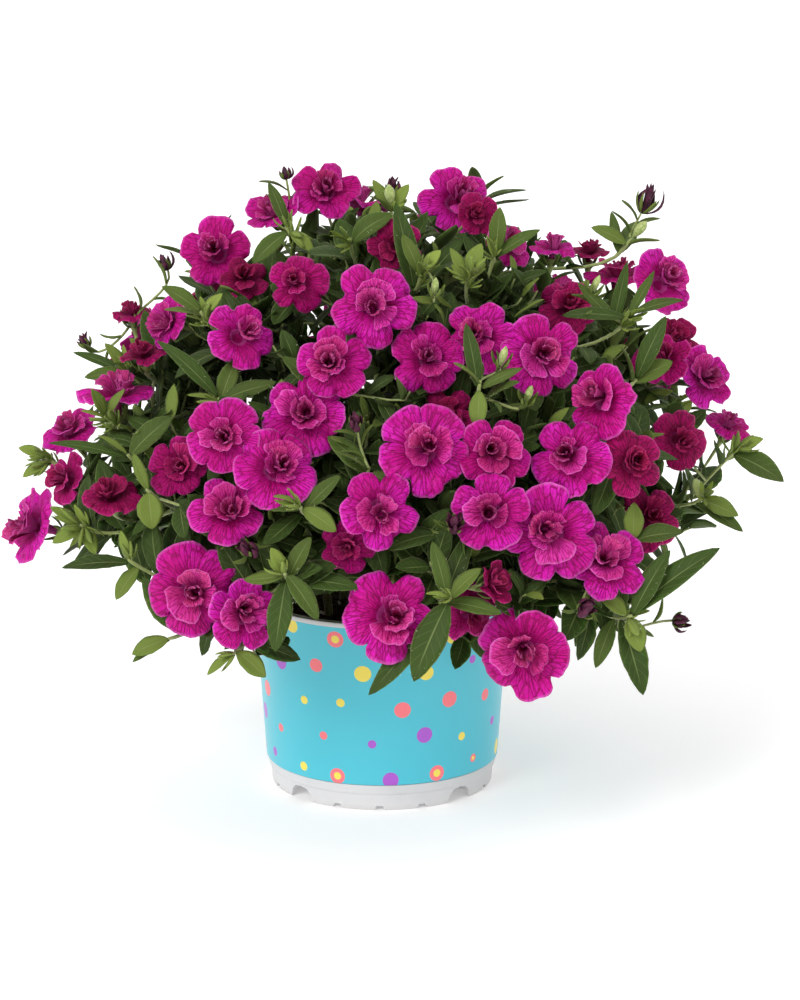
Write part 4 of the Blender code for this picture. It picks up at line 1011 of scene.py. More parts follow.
class Solid:
    """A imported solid, read for the forms that it was made from."""

    MERGE = 0.002
    FOOT_SHARE = 0.46
    FOOT_SHAPE = FOOT_SHARE / 0.17
    SHAPE_NEAR = 0.05
    EVEN = 0.02
    UNDER_SHARE = 0.34
    LOBE_HALF = radians(19)
    RIM_HEIGHT = 0.6
    RIM_NEAR = 0.004
    WAVE_SPAN = 1.6
    LEAST_BLADE = 3.0
    MOST_SECTIONS = 4
    ROOT_WIDTH = 2.2
    BUD_ROUNDNESS = 0.8
    FLATTEST = 0.2

    def __init__(self, thing: Thing) -> None:
        """Copy a CAD object's mesh with its doubles merged, in millimetres.

        Args:
            thing: The CAD object.
        """
        self.name = thing.name
        self.shape = bmesh.new()
        self.shape.from_mesh(thing.data)
        bmesh.ops.remove_doubles(self.shape, verts=self.shape.verts, dist=self.MERGE * MM)
        bmesh.ops.scale(self.shape, vec=(1 / MM, 1 / MM, 1 / MM), verts=self.shape.verts)
        self.shape.verts.index_update()

    def neighbours(self, vert: Corner) -> list[Corner]:
        """The corners that share an edge with one."""
        return [edge.other_vert(vert) for edge in vert.link_edges]

    def blooms(self) -> list[BloomSeat]:
        """Find each bloom by the five-sided point at the foot of its tube.

        Returns:
            The blooms' seats.
        """
        seats = []
        corners = np.array([vert.co for vert in self.shape.verts])
        for vert in self.shape.verts:
            ring = [other.co for other in self.neighbours(vert)]
            if len(ring) != 5:
                continue
            middle = sum(ring, Vector()) / 5
            widths = [(point - middle).length for point in ring]
            height = (vert.co - middle).length
            width = sum(widths) / 5
            if max(widths) - min(widths) > self.EVEN * width:
                continue
            if abs(height / width - self.FOOT_SHAPE) > self.SHAPE_NEAR:
                continue
            radius = height / self.FOOT_SHARE
            facing = (middle - vert.co).normalized()
            centre = middle + facing * radius * self.UNDER_SHARE
            spoke = square_to(facing, ring[0] - middle)
            first = Matrix.Rotation(FIFTH / 2, 3, facing) @ spoke
            seats.append(self.measured(BloomSeat(centre, facing, first, radius, 0.0, ()), corners))
        return seats

    def measured(self, seat: BloomSeat, corners: np.ndarray) -> BloomSeat:
        """Read a bloom's cup and waves from the corners of its rim.

        Args:
            seat: The seat without them.
            corners: The solid's corners.

        Returns:
            The full seat.
        """
        second = seat.facing.cross(seat.first)
        axes = np.array([seat.first, second, seat.facing])
        local = (corners - np.array(seat.centre)) @ axes.T / seat.radius

        def height(turn: float, reach: float) -> float | None:
            """The height of the corner at a turn and a reach, or None where there is none."""
            gaps = np.hypot(local[:, 0] - reach * cos(turn), local[:, 1] - reach * sin(turn))
            gaps = np.where(np.abs(local[:, 2]) < self.RIM_HEIGHT, gaps, np.inf)
            near = int(gaps.argmin())
            return float(local[near, 2]) if gaps[near] < self.RIM_NEAR else None

        waves = []
        cups = []
        for k in range(5):
            left = height(k * FIFTH - self.LOBE_HALF, 1.0)
            right = height(k * FIFTH + self.LOBE_HALF, 1.0)
            if left is None or right is None:
                waves.append(0.0)
                continue
            waves.append((left - right) / self.WAVE_SPAN)
            cups.append(left - waves[-1])
        cup = sum(cups) / len(cups) if cups else 0.0
        return BloomSeat(seat.centre, seat.facing, seat.first, seat.radius, cup, tuple(waves))

    def greens(self) -> tuple[list[BladeSeat], list[BudSeat]]:
        """Find each blade and bud by its three-sided point, and take it off the stems.

        Returns:
            The blades' and the buds' seats. The shape keeps the bare stems.
        """
        blades = []
        buds = []
        spare: set[Corner] = set()
        for vert in self.shape.verts:
            ring = self.neighbours(vert)
            if len(ring) != 3 or (vert.co - self.middle(ring)).length < self.LEAST_BLADE:
                continue
            sections = []
            before = {vert}
            while self.spread(ring)[1] > self.ROOT_WIDTH and len(sections) < self.MOST_SECTIONS:
                sections.append(ring)
                outer = {other for corner in ring for other in self.neighbours(corner)} - before - set(ring)
                before = set(ring)
                ring = sorted(outer, key=lambda corner: corner.index)
                if len(ring) != 3:
                    break
            if len(ring) != 3 or not sections:
                continue
            root = self.middle(ring)
            spare.add(vert)
            spare.update(corner for section in sections for corner in section)
            least, most = self.spread(sections[0])
            if least > self.BUD_ROUNDNESS * most:
                buds.append(BudSeat(root, vert.co.copy(), most / sqrt(3)))
                continue
            blades.append(self.blade(root, vert.co.copy(), sections))
        bmesh.ops.delete(self.shape, geom=list(spare), context="VERTS")
        open_edges = [edge for edge in self.shape.edges if edge.is_boundary]
        bmesh.ops.holes_fill(self.shape, edges=open_edges, sides=6)
        bmesh.ops.triangulate(self.shape, faces=[face for face in self.shape.faces if len(face.verts) > 3])
        return blades, buds

    def middle(self, ring: Ring) -> Vector:
        """The middle of some corners."""
        return sum((corner.co for corner in ring), Vector()) / len(ring)

    def spread(self, ring: Ring) -> Span:
        """The shortest and the longest side of a ring of three corners."""
        sides = [(ring[i].co - ring[(i + 1) % 3].co).length for i in range(3)]
        return min(sides), max(sides)

    def blade(self, root: Vector, tip: Vector, sections: Sequence[Ring]) -> BladeSeat:
        """A blade's seat from its sections.

        Args:
            root: Its root.
            tip: Its tip.
            sections: Its rings of three corners, from the tip down.

        Returns:
            The seat.
        """
        found = []
        for ring in sections:
            points = [corner.co for corner in ring]
            keel = max(range(3), key=lambda i: (points[(i + 1) % 3] - points[(i + 2) % 3]).length)
            left, right = points[(keel + 1) % 3], points[(keel + 2) % 3]
            crown = (left + right) / 2
            found.append(((left - right).length, (crown - points[keel]).normalized(), crown))
        width, face, crown = max(found, key=lambda section: section[0])
        along = tip - root
        share = (crown - root).dot(along) / along.length_squared
        rise = (crown - root - along * share).dot(square_to(along.normalized(), face))
        arch = rise / along.length / max(4 * share * (1 - share), self.FLATTEST)
        return BladeSeat(root, tip, face, width, arch)


def surface(solids: Iterable[Solid], lowest: float = 0.0) -> BVHTree:
    """Some solids' faces as one surface that can be searched.

    Args:
        solids: The solids.
        lowest: The height that a face's middle has to pass, in millimetres.

    Returns:
        The surface.
    """
    corners: list[Vector] = []
    faces: list[tuple[int, ...]] = []
    for solid in solids:
        solid.shape.verts.index_update()
        base = len(corners)
        corners += [vert.co.copy() for vert in solid.shape.verts]
        faces += [tuple(vert.index + base for vert in face.verts) for face in solid.shape.faces
                  if face.calc_center_median().z > lowest]
    return BVHTree.FromPolygons(corners, faces)


def slab(front: np.ndarray, back: np.ndarray) -> Mesh:
    """A closed skin over two sheets of the same grid.

    Args:
        front: The upper sheet, as row, column, axis. Its columns run anticlockwise and its rows outwards.
        back: The lower sheet.

    Returns:
        Points and faces that look out.
    """
    rows, columns, _ = front.shape
    size = rows * columns
    index = np.arange(size).reshape(rows, columns)
    faces: list[tuple[int, ...]] = []
    for i in range(rows - 1):
        for j in range(columns - 1):
            quad = (index[i, j], index[i + 1, j], index[i + 1, j + 1], index[i, j + 1])
            faces.append(quad)
            faces.append(tuple(corner + size for corner in reversed(quad)))
    rim = [*index[0], *index[1:, -1], *index[-1, -2::-1], *index[-2:0:-1, 0]]
    for here, there in zip(rim, rim[1:] + rim[:1]):
        faces.append((here, there, there + size, here + size))
    return np.concatenate([front.reshape(-1, 3), back.reshape(-1, 3)]), faces


def sheet_normals(grid: np.ndarray, closed: bool) -> np.ndarray:
    """Unit normals of a sheet.

    Args:
        grid: Its points, as row, column, axis. Its columns run anticlockwise and its rows outwards.
        closed: Whether the last column meets the first.

    Returns:
        One normal for each point.
    """
    out = np.gradient(grid, axis=0)
    around = np.roll(grid, -1, axis=1) - np.roll(grid, 1, axis=1) if closed else np.gradient(grid, axis=1)
    normal = np.cross(out, around)
    return normal / np.maximum(np.linalg.norm(normal, axis=-1, keepdims=True), 1e-9)


@dataclass(frozen=True)
class Whorl:
    """One round of the heart's separate petals; sizes are shares of the bloom's radius, spans are radians."""

    petals: int
    reach: Span
    lift: Span
    half: Span
    hood: Span
    inner: float
    rows: int
    columns: int


@dataclass
class BloomMaker:
    """Builds one double bloom: a five-lobed corolla with rounds of cupped, crumpled petals in it."""

    seat: BloomSeat
    heap: Heap
    slot: int
    draw: Draw

    columns: int = 64
    rows: int = 10
    thickness: float = 0.3
    flat: float = 0.45
    mouth: float = 0.05
    depth: float = 0.50
    notch: Span = (0.14, 0.42)
    ruffle: float = 0.036
    whorls: tuple[Whorl, ...] = (
        Whorl(3, (0.40, 0.72), (0.10, 0.42), (0.70, 1.50), (-0.2, 0.9), 0.35, 8, 15),
        Whorl(3, (0.22, 0.50), (0.22, 0.52), (0.60, 1.60), (-0.1, 1.4), 0.70, 7, 13),
        Whorl(3, (0.10, 0.28), (0.30, 0.52), (0.80, 1.60), (0.5, 1.6), 1.00, 6, 9),
    )
    tube: Outline = ((0.150, -0.27), (0.120, -0.42), (0.105, -0.60), (0.085, -0.78))
    tube_end: float = -0.80

    def __post_init__(self) -> None:
        """Draw how ripe the bloom is."""
        self.ripe = float(self.draw.uniform(0.0, 1.0) ** 1.5)

    def build(self) -> None:
        """Put the bloom on its heap."""
        self.add_corolla()
        turn = self.draw.uniform(0, 2 * pi)
        off = self.draw.uniform(-0.11, 0.11, 2)
        for whorl in self.whorls:
            for k in range(whorl.petals):
                middle = turn + (k + self.draw.uniform(-0.3, 0.3)) * 2 * pi / whorl.petals
                self.add_petal(whorl, middle, off)
            turn += self.draw.uniform(0.6, 1.4)
            off = off * 1.3

    def add_petal(self, whorl: Whorl, middle: float, off: np.ndarray) -> None:
        """Put one cupped petal of the heart on the heap.

        Args:
            whorl: The round that it belongs to.
            middle: The turn of its middle.
            off: How far its foot stands from the bloom's axis.
        """
        draw = self.draw
        spans = (whorl.reach, whorl.lift, whorl.half, whorl.hood)
        reach, lift, half, hood = (draw.uniform(*span) for span in spans)
        share, aside = np.meshgrid(np.linspace(0.0, 1.0, whorl.rows), np.linspace(-1, 1, whorl.columns),
                                   indexing="ij")
        skew = draw.uniform(-0.45, 0.45)
        phase, second = draw.uniform(0, 2 * pi, 2)
        nibble = 0.05 * np.sin(aside * 5 + phase) + 0.03 * np.sin(aside * 11 + second)
        outline = 0.30 + 0.70 * np.sqrt(np.clip(1 - np.abs(aside) ** 2.6, 0, 1)) + nibble
        out = share * outline
        turn = middle + aside * half * (0.62 + 0.38 * out) + skew * out ** 2
        foot = 0.04 + 0.05 * draw.random()
        away = foot + (reach - foot) * out ** 0.85
        away -= reach * 0.30 * hood * out ** 4
        height = lift * np.sin(out * pi / 2 * (1.0 + 0.35 * hood)) - 0.22 * (1 - out) ** 3
        height += 0.07 * out ** 2 * aside * draw.uniform(-1, 1)
        crumple = np.sin(turn * 9 + phase + out * 3) + 0.7 * np.sin(turn * 15 + second)
        height += 0.030 * out ** 2 * crumple
        away += 0.022 * out ** 2 * np.sin(turn * 12 + second)
        height -= 0.045 * out * np.exp(-(aside / 0.12) ** 2)
        height += self.seat.cup * 0.5 * out
        front = np.stack([off[0] + away * np.cos(turn), off[1] + away * np.sin(turn), height], axis=-1)
        mesh = slab(front, self.back(front, share, False))
        pairs = {"reach": np.tile(share.ravel() * 0.8 + 0.2, 2), "aside": np.tile(np.abs(aside).ravel(), 2),
                 "behind": np.repeat([0.0, 1.0], share.size)}
        self.put(mesh, inner=whorl.inner, **pairs)

    def back(self, front: np.ndarray, share: np.ndarray, closed: bool) -> np.ndarray:
        """The back of a petal's front sheet, which lies nearer to it towards the rim."""
        thick = self.thickness / self.seat.radius
        return front - sheet_normals(front, closed) * thick * (1.1 - 0.5 * share[..., None])

    def put(self, mesh: Mesh, **values: Any) -> None:
        """Put a mesh on the heap, its UV laid flat round the bloom's axis.

        Args:
            mesh: Points in the bloom's own axes, and faces.
            **values: What its points hold.
        """
        points, faces = mesh
        flat = 0.5 + points[:, :2] * self.flat
        self.heap.add(self.seat.to_world(points), faces, flat, self.slot, young=self.ripe, **values)

    def add_corolla(self) -> None:
        """Put the closed corolla, lobes and tube in one, on the heap."""
        shares = np.linspace(0.10, 1.0, self.rows) ** 0.9
        turns = np.arange(self.columns) / self.columns * 2 * pi
        share, turn = np.meshgrid(shares, turns, indexing="ij")
        front, aside = self.corolla(share, turn)
        back = self.back(front, share, True)[::-1]
        rings = [front, back[:-2]] + [self.ring(*place)[None] for place in self.tube]
        reach = np.concatenate([shares, shares[::-1][:-2], [shares[0]] * len(self.tube)])
        start = np.array([0.0, 0.0, front[0, :, 2].mean() - 0.02])
        mesh = wrap(np.concatenate(rings), start, np.array([0.0, 0.0, self.tube_end]))
        behind = (np.arange(len(reach)) >= self.rows).astype(float)
        values = {
            "reach": np.append(np.repeat(reach, self.columns), [0.0, 0.0]),
            "aside": np.append(np.tile(aside[0], len(reach)), [0.5, 0.5]),
            "behind": np.append(np.repeat(behind, self.columns), [0.0, 1.0]),
        }
        self.put(mesh, **values)

    def ring(self, radius: float, height: float) -> np.ndarray:
        """A plain ring of the tube."""
        turns = np.arange(self.columns) / self.columns * 2 * pi
        return np.stack([radius * np.cos(turns), radius * np.sin(turns), np.full_like(turns, height)], -1)

    def corolla(self, share: np.ndarray, turn: np.ndarray) -> tuple[np.ndarray, np.ndarray]:
        """The front of the corolla.

        Args:
            share: How far out each point is, 0 to 1.
            turn: How far round each point is.

        Returns:
            Its points in the bloom's own axes, and how far each is from its lobe's middle, 0 to 1.
        """
        draw = self.draw
        spun = turn / FIFTH
        lobe = np.round(spun).astype(int)
        lean = (spun - lobe) * 2
        lobe = lobe % 5
        aside = np.abs(lean)
        size = (1 + draw.uniform(-0.10, 0.02, 5))[lobe]
        lift = (1 + draw.uniform(-0.25, 0.25, 5))[lobe]
        curl = draw.uniform(-0.02, 0.24, 5)[lobe]
        rise = draw.uniform(-0.09, 0.09, 5)[lobe]
        wave = np.array(self.seat.waves)[lobe]
        notch = draw.uniform(*self.notch, 5)[np.floor(spun).astype(int) % 5]
        sharp = draw.uniform(2.6, 6.0)
        phase = draw.uniform(0, 2 * pi, 5)
        nibble = 0.011 * (np.sin(turn * 13 + phase[0]) + 0.8 * np.sin(turn * 21 + phase[1]))
        outline = (1 - 0.03 * aside ** 2 - notch * aside ** sharp + nibble) * size
        spread = (self.mouth + (1 - self.mouth) * share) * (1 + (outline - 1) * share ** 1.5)
        height = -self.depth * (1 - share) ** 4 + self.seat.cup * lift * share ** 1.3 + rise * share ** 2
        height += share ** 2 * (0.2 * wave - 0.8 * wave * lean / 1.06)
        height -= share ** 2 * (0.4 * abs(self.seat.cup) + draw.uniform(0.05, 0.18)) * aside ** 2.6
        height += draw.uniform(-0.02, 0.10) * share ** 3 * lean ** 3
        height -= curl * share ** 4
        height += draw.uniform(-0.10, 0.10, 5)[lobe] * share ** 2 * np.cos(lean * 4.0)
        crease = np.exp(-(lean / 0.13) ** 2) + 0.45 * np.exp(-((aside - 0.45) / 0.10) ** 2)
        height -= 0.095 * share * (1.15 - share) * crease
        swell = 0.5 + 0.5 * np.sin(turn * 3 + phase[2])
        height += self.ruffle * swell * share ** 3 * np.sin(turn * 11 + phase[3] + share * 1.5)
        height += self.ruffle * 0.5 * share ** 3 * np.sin(turn * 19 + phase[4])
        angle = turn + 0.14 * share ** 2 * np.sin(lean * pi / 2) * draw.uniform(-0.8, 1.0, 5)[lobe]
        return np.stack([spread * np.cos(angle), spread * np.sin(angle), height], axis=-1), aside


@dataclass(frozen=True)
class BladeMaker:
    """Builds leaves and sepals as thin closed blades with a grooved midrib."""

    heap: Heap
    draw: Draw

    thickness: float = 0.34
    rib: float = 0.30

    def add(self, seat: BladeSeat, slot: int, rows: int, columns: int, **values: Any) -> None:
        """Put one blade on the heap.

        Args:
            seat: Where it lies.
            slot: Its material's number.
            rows: How many sections it has.
            columns: How many strips it has from edge to edge, an even number.
            **values: What its points hold.
        """
        along = seat.tip - seat.root
        length = along.length
        direction = along / length
        face = square_to(direction, seat.face)
        side = direction.cross(face)
        share = (np.arange(1, rows + 1) - 0.35) / (rows + 0.3)
        outline = np.sin(pi * share ** 0.85) ** 0.72 * (1 - 0.25 * (1 - share) ** 2)
        half = seat.width / 2 * outline * (1 + self.draw.uniform(-0.04, 0.04, rows))
        reach = np.linspace(-1, 1, columns + 1)
        fold = self.draw.uniform(0.10, 0.34)
        roll = self.draw.uniform(-0.25, 0.25)
        wave = self.draw.uniform(0, 2 * pi)
        droop = self.draw.uniform(-0.02, 0.09)
        rise = seat.arch * length * 4 * share * (1 - share) - droop * length * share ** 3 * (1 - share) * 4
        top = self.section(half, reach, fold, wave, share) + rise[:, None]
        groove = self.rib * np.exp(-(reach / 0.16) ** 2) * outline[:, None]
        thick = self.thickness * (1 - 0.65 * np.abs(reach) ** 2)[None, :]
        upper = top - groove * 0.6
        lower = top - thick - groove * 1.3
        lateral = half[:, None] * reach[None, :]
        tilt = roll * share[:, None]
        rings = []
        lifted = rise[:, None]
        place = (np.array(seat.root) + np.multiply.outer(share, np.array(direction)) * length)[:, None, :]
        for level, order in ((upper, slice(None)), (lower, slice(-2, 0, -1))):
            across = (lateral * np.cos(tilt) - (level - lifted) * np.sin(tilt))[:, order]
            height = (lateral * np.sin(tilt) + (level - lifted) * np.cos(tilt) + lifted)[:, order]
            rings.append(place + across[..., None] * np.array(side) + height[..., None] * np.array(face))
        rings = np.concatenate(rings, axis=1)[:, ::-1]
        points, faces = wrap(rings, np.array(seat.root), np.array(seat.tip))
        order = np.concatenate([reach, reach[-2:0:-1]])[::-1]
        below = np.concatenate([np.zeros(columns + 1), np.ones(columns - 1)])[::-1]
        flat = np.stack([np.tile((order + 1) / 2, rows), np.repeat(share, len(order))], axis=-1)
        flat = np.concatenate([flat, [[0.5, 0.0], [0.5, 1.0]]])
        fringe = np.append(np.tile(np.abs(order) ** 4, rows), [0.0, 1.0])
        values["sown"] = values.get("sown", 0.0) * fringe
        values["behind"] = np.append(np.tile(below, rows), [0.0, 0.0])
        self.heap.add(points, faces, flat, slot, **values)

    def section(self, half: np.ndarray, reach: np.ndarray, fold: float, wave: float,
                share: np.ndarray) -> np.ndarray:
        """How high a blade's upper side stands over its midrib.

        Args:
            half: Half widths, one for each section.
            reach: Places from edge to edge, -1 to 1.
            fold: How far the edges rise, as a share of the half width.
            wave: Where the edges' slow wave starts.
            share: How far along each section is.

        Returns:
            Heights, as section, place.
        """
        lift = fold * half[:, None] * np.abs(reach)[None, :] ** 1.4
        ripple = 0.05 * half[:, None] * reach[None, :] * np.sin(share * 9 + wave)[:, None]
        return lift + ripple


@dataclass(frozen=True)
class Sprig:
    """A bud or a spent bloom as it shows in the photograph."""

    across: float
    up: float
    out: float
    length: float
    width: float
    spent: bool


SPRIGS = (
    Sprig(114, 249, 1.07, 14.0, 4.6, True),
    Sprig(-94, 224, 0.99, 8.0, 4.4, True),
    Sprig(-129, 190, 1.00, 7.0, 4.0, True),
    Sprig(-42, 264, 1.02, 6.0, 3.6, True),
    Sprig(5, 257, 1.01, 8.0, 4.4, True),
    Sprig(23, 212, 1.03, 10.0, 4.5, False),
    Sprig(92, 213, 1.03, 10.0, 4.5, False),
    Sprig(52, 181, 1.02, 12.0, 5.0, False),
    Sprig(63, 165, 1.02, 11.0, 4.5, False),
    Sprig(-58, 99, 0.98, 10.0, 6.0, True),
    Sprig(31, 110, 0.98, 10.0, 6.0, True),
    Sprig(-11, 155, 0.98, 8.0, 5.0, True),
    Sprig(87, 73, 1.0, 11.0, 7.0, True),
    Sprig(128, 70, 1.00, 8.0, 4.6, True),
)


@dataclass
class Foliage:
    """All that is green on one leafy stem's node."""

    solid: Solid
    seats: Sequence[BloomSeat]
    petals: BVHTree
    draw: Draw

    pointed: float = 15.0
    young_under: float = 20.0
    fresh_under: float = 26.0
    broad: float = 7.0
    stem_swell: float = 0.16
    tuft: int = 5
    lowest: float = 87.0
    foot_room: float = 6.0
    foot_depth: float = 0.8
    twig_sites: int = 260
    twig_spacing: float = 9.0
    twig_tries: int = 6
    twig_length: Span = (20.0, 44.0)
    twig_radii: Span = (0.65, 0.4)
    twig_outermost: float = 0.95
    twig_step: float = 4.6
    leaf_sites: int = 1300
    leaf_spacing: float = 3.6
    leaf_tries: int = 4
    leaf_length: Span = (16.0, 29.0)
    leaf_width: Span = (0.38, 0.54)
    leaf_arch: Span = (0.0, 0.12)
    leaf_outermost: float = 1.0
    leaf_lowest: float = 58.0
    pot_top: float = 92.0
    pot_room: float = 66.0
    golden: float = pi * (3 - sqrt(5))

    def __post_init__(self) -> None:
        """Read the node's forms and where the blooms stand."""
        self.blades, self.buds = self.solid.greens()
        self.heap = Heap()
        self.maker = BladeMaker(self.heap, self.draw)
        self.centres = np.array([seat.centre for seat in self.seats])
        self.facings = np.array([seat.facing for seat in self.seats])
        self.radii = np.array([seat.radius for seat in self.seats])
        self.feet = self.centres - self.facings * (self.radii * self.foot_depth)[:, None]
        self.leaves = 0
        self.twigs = 0

    def build(self, materials: Sequence[Material]) -> Thing:
        """Build the node's stems and blades as one object.

        Args:
            materials: Blades, stems and green buds.

        Returns:
            The object, which stands for the node.
        """
        for seat in self.blades:
            size = (seat.tip - seat.root).length
            young = float(np.clip((self.young_under - size) / 9.0, 0, 1)) * 0.85
            young += 0.12 * (size < self.fresh_under)
            rows, columns = (11, 6) if seat.width > self.broad else (8, 4)
            shade = self.draw.uniform(0.0, 0.9)
            self.maker.add(seat, BLADE, rows, columns, young=young, shade=shade, sown=1.0)
            if size < self.pointed:
                self.add_point(seat)
        self.add_stems()
        for bud in self.buds:
            self.heap.add(*furled(bud.root, bud.tip, bud.radius), slot=BUD, sown=1.0)
        sites = self.sites()
        for site, normal in self.spaced(sites, self.twig_sites, self.twig_spacing):
            self.try_twig(site, normal)
        for site, normal in self.spaced(sites, self.leaf_sites, self.leaf_spacing):
            aim = normal * 0.75 + outward(site) * 0.5 + Vector((0, 0, 0.25))
            self.leaves += self.try_leaf(site, aim, 1.0)
        thing = self.heap.build(self.solid.name + "_foliage", materials)
        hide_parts(self.solid.name)
        return thing

    def add_point(self, seat: BladeSeat) -> None:
        """Crowd small narrow leaves round a short one, as at a growing point.

        Args:
            seat: The short leaf's seat.
        """
        along = seat.tip - seat.root
        direction = along.normalized()
        side = square_to(direction, seat.face)
        for k in range(self.tuft):
            spoke = Matrix.Rotation(k * self.golden, 3, direction) @ side
            lean = self.draw.uniform(0.25, 0.9)
            aim = (direction + spoke * lean).normalized() * along.length
            tip = seat.root + aim * self.draw.uniform(0.45, 0.85)
            blade = BladeSeat(seat.root, tip, along - spoke, seat.width * 0.55, -0.06)
            self.maker.add(blade, BLADE, 5, 2, young=1.0, shade=0.9, sown=2.0)

    def add_stems(self) -> None:
        """Round the bare stems by subdivision, swell them back to their thickness and heap them."""
        mesh = bpy.data.meshes.new("bare")
        self.solid.shape.to_mesh(mesh)
        thing = linked("bare", mesh)
        smooth = thing.modifiers.new("Round", "SUBSURF")
        smooth.levels = 1
        smooth.render_levels = 1
        settle(thing)
        points = np.array([vert.co for vert in thing.data.vertices])
        normals = np.array([vert.normal for vert in thing.data.vertices])
        faces = [tuple(face.vertices) for face in thing.data.polygons]
        self.heap.add(points + normals * self.stem_swell, faces, slot=STEM, sown=1.0)
        bpy.data.objects.remove(thing)

    def sites(self) -> Sites:
        """Where the bare stems can bear something.

        Returns:
            Their faces above the pot, and each one's chance.
        """
        faces = [face for face in self.solid.shape.faces if face.calc_center_median().z > self.lowest]
        areas = np.array([face.calc_area() for face in faces])
        return faces, areas / areas.sum()

    def spaced(self, sites: Sites, count: int,
               spacing: float) -> Iterable[tuple[Vector, Vector]]:
        """Places strewn over the bare stems, none near another or near a bloom's foot.

        Args:
            sites: The faces and their chances.
            count: How many places are tried.
            spacing: The least distance between two.

        Yields:
            A place and the stem's normal there.
        """
        faces, chances = sites
        taken = np.empty((0, 3))
        for pick in self.draw.choice(len(faces), count, p=chances):
            corners = [vert.co for vert in faces[pick].verts]
            first, second = sorted(self.draw.random(2))
            site = corners[0] * first + corners[1] * (second - first) + corners[2] * (1 - second)
            place = np.array(site)
            if len(taken) and np.linalg.norm(taken - place, axis=1).min() < spacing:
                continue
            if np.linalg.norm(self.feet - place, axis=1).min() < self.foot_room:
                continue
            taken = np.vstack([taken, place])
            yield site, faces[pick].normal

    def try_twig(self, site: Vector, normal: Vector) -> None:
        """Grow a short leafy twig from a site if a few bends find room.

        Args:
            site: Its root.
            normal: The stem's normal there.
        """
        out = outward(site)
        for _ in range(self.twig_tries):
            sway = Vector(self.draw.uniform(-0.6, 0.6, 3))
            aim = (normal * 0.5 + out * 0.5 + Vector((0, 0, 0.2)) + sway).normalized()
            end = site + aim * self.draw.uniform(*self.twig_length)
            gap = (end - site).length
            if bulge(end) > self.twig_outermost or self.near_pot(end):
                continue
            if self.faces_bloom([end, site.lerp(end, 0.6)]):
                continue
            if self.petals.ray_cast(site, aim, gap + 3.0)[0] is not None:
                continue
            leave = (normal + out * 0.3).normalized() * gap * 0.35
            arrive = (out + Vector((0, 0, 0.6))).normalized() * gap * 0.35
            path = bend(site, leave, end, arrive, 5)
            self.heap.add(*tube(path, *self.twig_radii, 5), slot=STEM, sown=0.5)
            self.twigs += 1
            self.leaf_twig(path)
            return

    def leaf_twig(self, path: Sequence[Vector]) -> None:
        """Set leaves up a twig by the golden angle, and a tuft of young ones on its end.

        Args:
            path: The twig's path.
        """
        length = sum((b - a).length for a, b in zip(path, path[1:]))
        start_turn = self.draw.uniform(0, 2 * pi)
        count = int(length / self.twig_step)
        for k in range(1, count + 1):
            share = k / count * (len(path) - 1)
            index = min(int(share), len(path) - 2)
            root = path[index].lerp(path[index + 1], share - index)
            direction = (path[index + 1] - path[index]).normalized()
            side = square_to(direction, Vector((0.2, 0.5, 1.0)))
            spoke = Matrix.Rotation(start_turn + k * self.golden, 3, direction) @ side
            last = k == count
            aim = direction * (1.2 if last else 0.55) + spoke * (0.4 if last else 0.85)
            self.try_leaf(root, aim, 0.6 if last else 0.95)

    def try_leaf(self, site: Vector, aim: Vector, size: float) -> bool:
        """Set one leaf at a site if one of a few bends is clear.

        Args:
            site: Its root.
            aim: The way it should point.
            size: Its size against the usual.

        Returns:
            Whether it was set.
        """
        face = outward(site) * 0.7 + Vector((0, 0, 0.8)) + VIEW_BACK * 0.2
        for _ in range(self.leaf_tries):
            sway = Vector(self.draw.uniform(-0.35, 0.35, 3))
            direction = (aim.normalized() + sway).normalized()
            length = self.draw.uniform(*self.leaf_length) * size
            tip = site + direction * length
            depth = bulge(tip)
            if depth > self.leaf_outermost or self.near_pot(tip):
                continue
            width = length * self.draw.uniform(*self.leaf_width)
            seat = BladeSeat(site, tip, face, width, self.draw.uniform(*self.leaf_arch))
            if not self.is_clear(seat):
                continue
            # Painted shade: light goes from 1 at the canopy's outside to 0 deep inside and scales the leaf's
            # lighter green and young tint
            light = float(np.clip((depth - 0.6) / 0.4, 0.0, 1.0))
            rows, columns = (6, 4) if depth > 0.75 else (5, 2)
            young = 0.55 * light if size < 0.7 else 0.0
            shade = self.draw.uniform(0, 0.75) * light
            sown = 0.25 * (depth > 0.85)
            self.maker.add(seat, BLADE, rows, columns, young=young, shade=shade, sown=sown)
            return True
        return False

    def near_pot(self, point: Vector) -> bool:
        """Whether a point is in the pot's room.

        Args:
            point: The point.

        Returns:
            True if it is too low, or too near the pot's rim or wall.
        """
        if point.z < self.leaf_lowest:
            return True
        return point.z < self.pot_top and sqrt(point.x ** 2 + point.y ** 2) < self.pot_room

    def faces_bloom(self, points: Sequence[Vector]) -> bool:
        """Whether something stands before a bloom's face.

        Args:
            points: The points to ask about.

        Returns:
            True if any of them does.
        """
        for point in points:
            offset = np.array(point) - self.centres
            height = (offset * self.facings).sum(axis=1)
            away = np.linalg.norm(offset - self.facings * height[:, None], axis=1)
            if ((height > -1.0) & (height < self.radii * 1.3) & (away < self.radii * 0.9)).any():
                return True
        return False

    def is_clear(self, seat: BladeSeat) -> bool:
        """Whether a blade crosses no bloom and stands before no bloom's face.

        Args:
            seat: The blade's seat.

        Returns:
            True if it is clear.
        """
        along = seat.tip - seat.root
        direction = along.normalized()
        side = direction.cross(square_to(direction, seat.face)) * (seat.width / 2)
        middle = seat.root + along * 0.55
        points = [seat.root, middle + side, seat.tip, middle - side]
        if self.faces_bloom(points[1:] + [middle]):
            return False
        kite = BVHTree.FromPolygons(points, [(0, 1, 2), (0, 2, 3)])
        return not kite.overlap(self.petals)


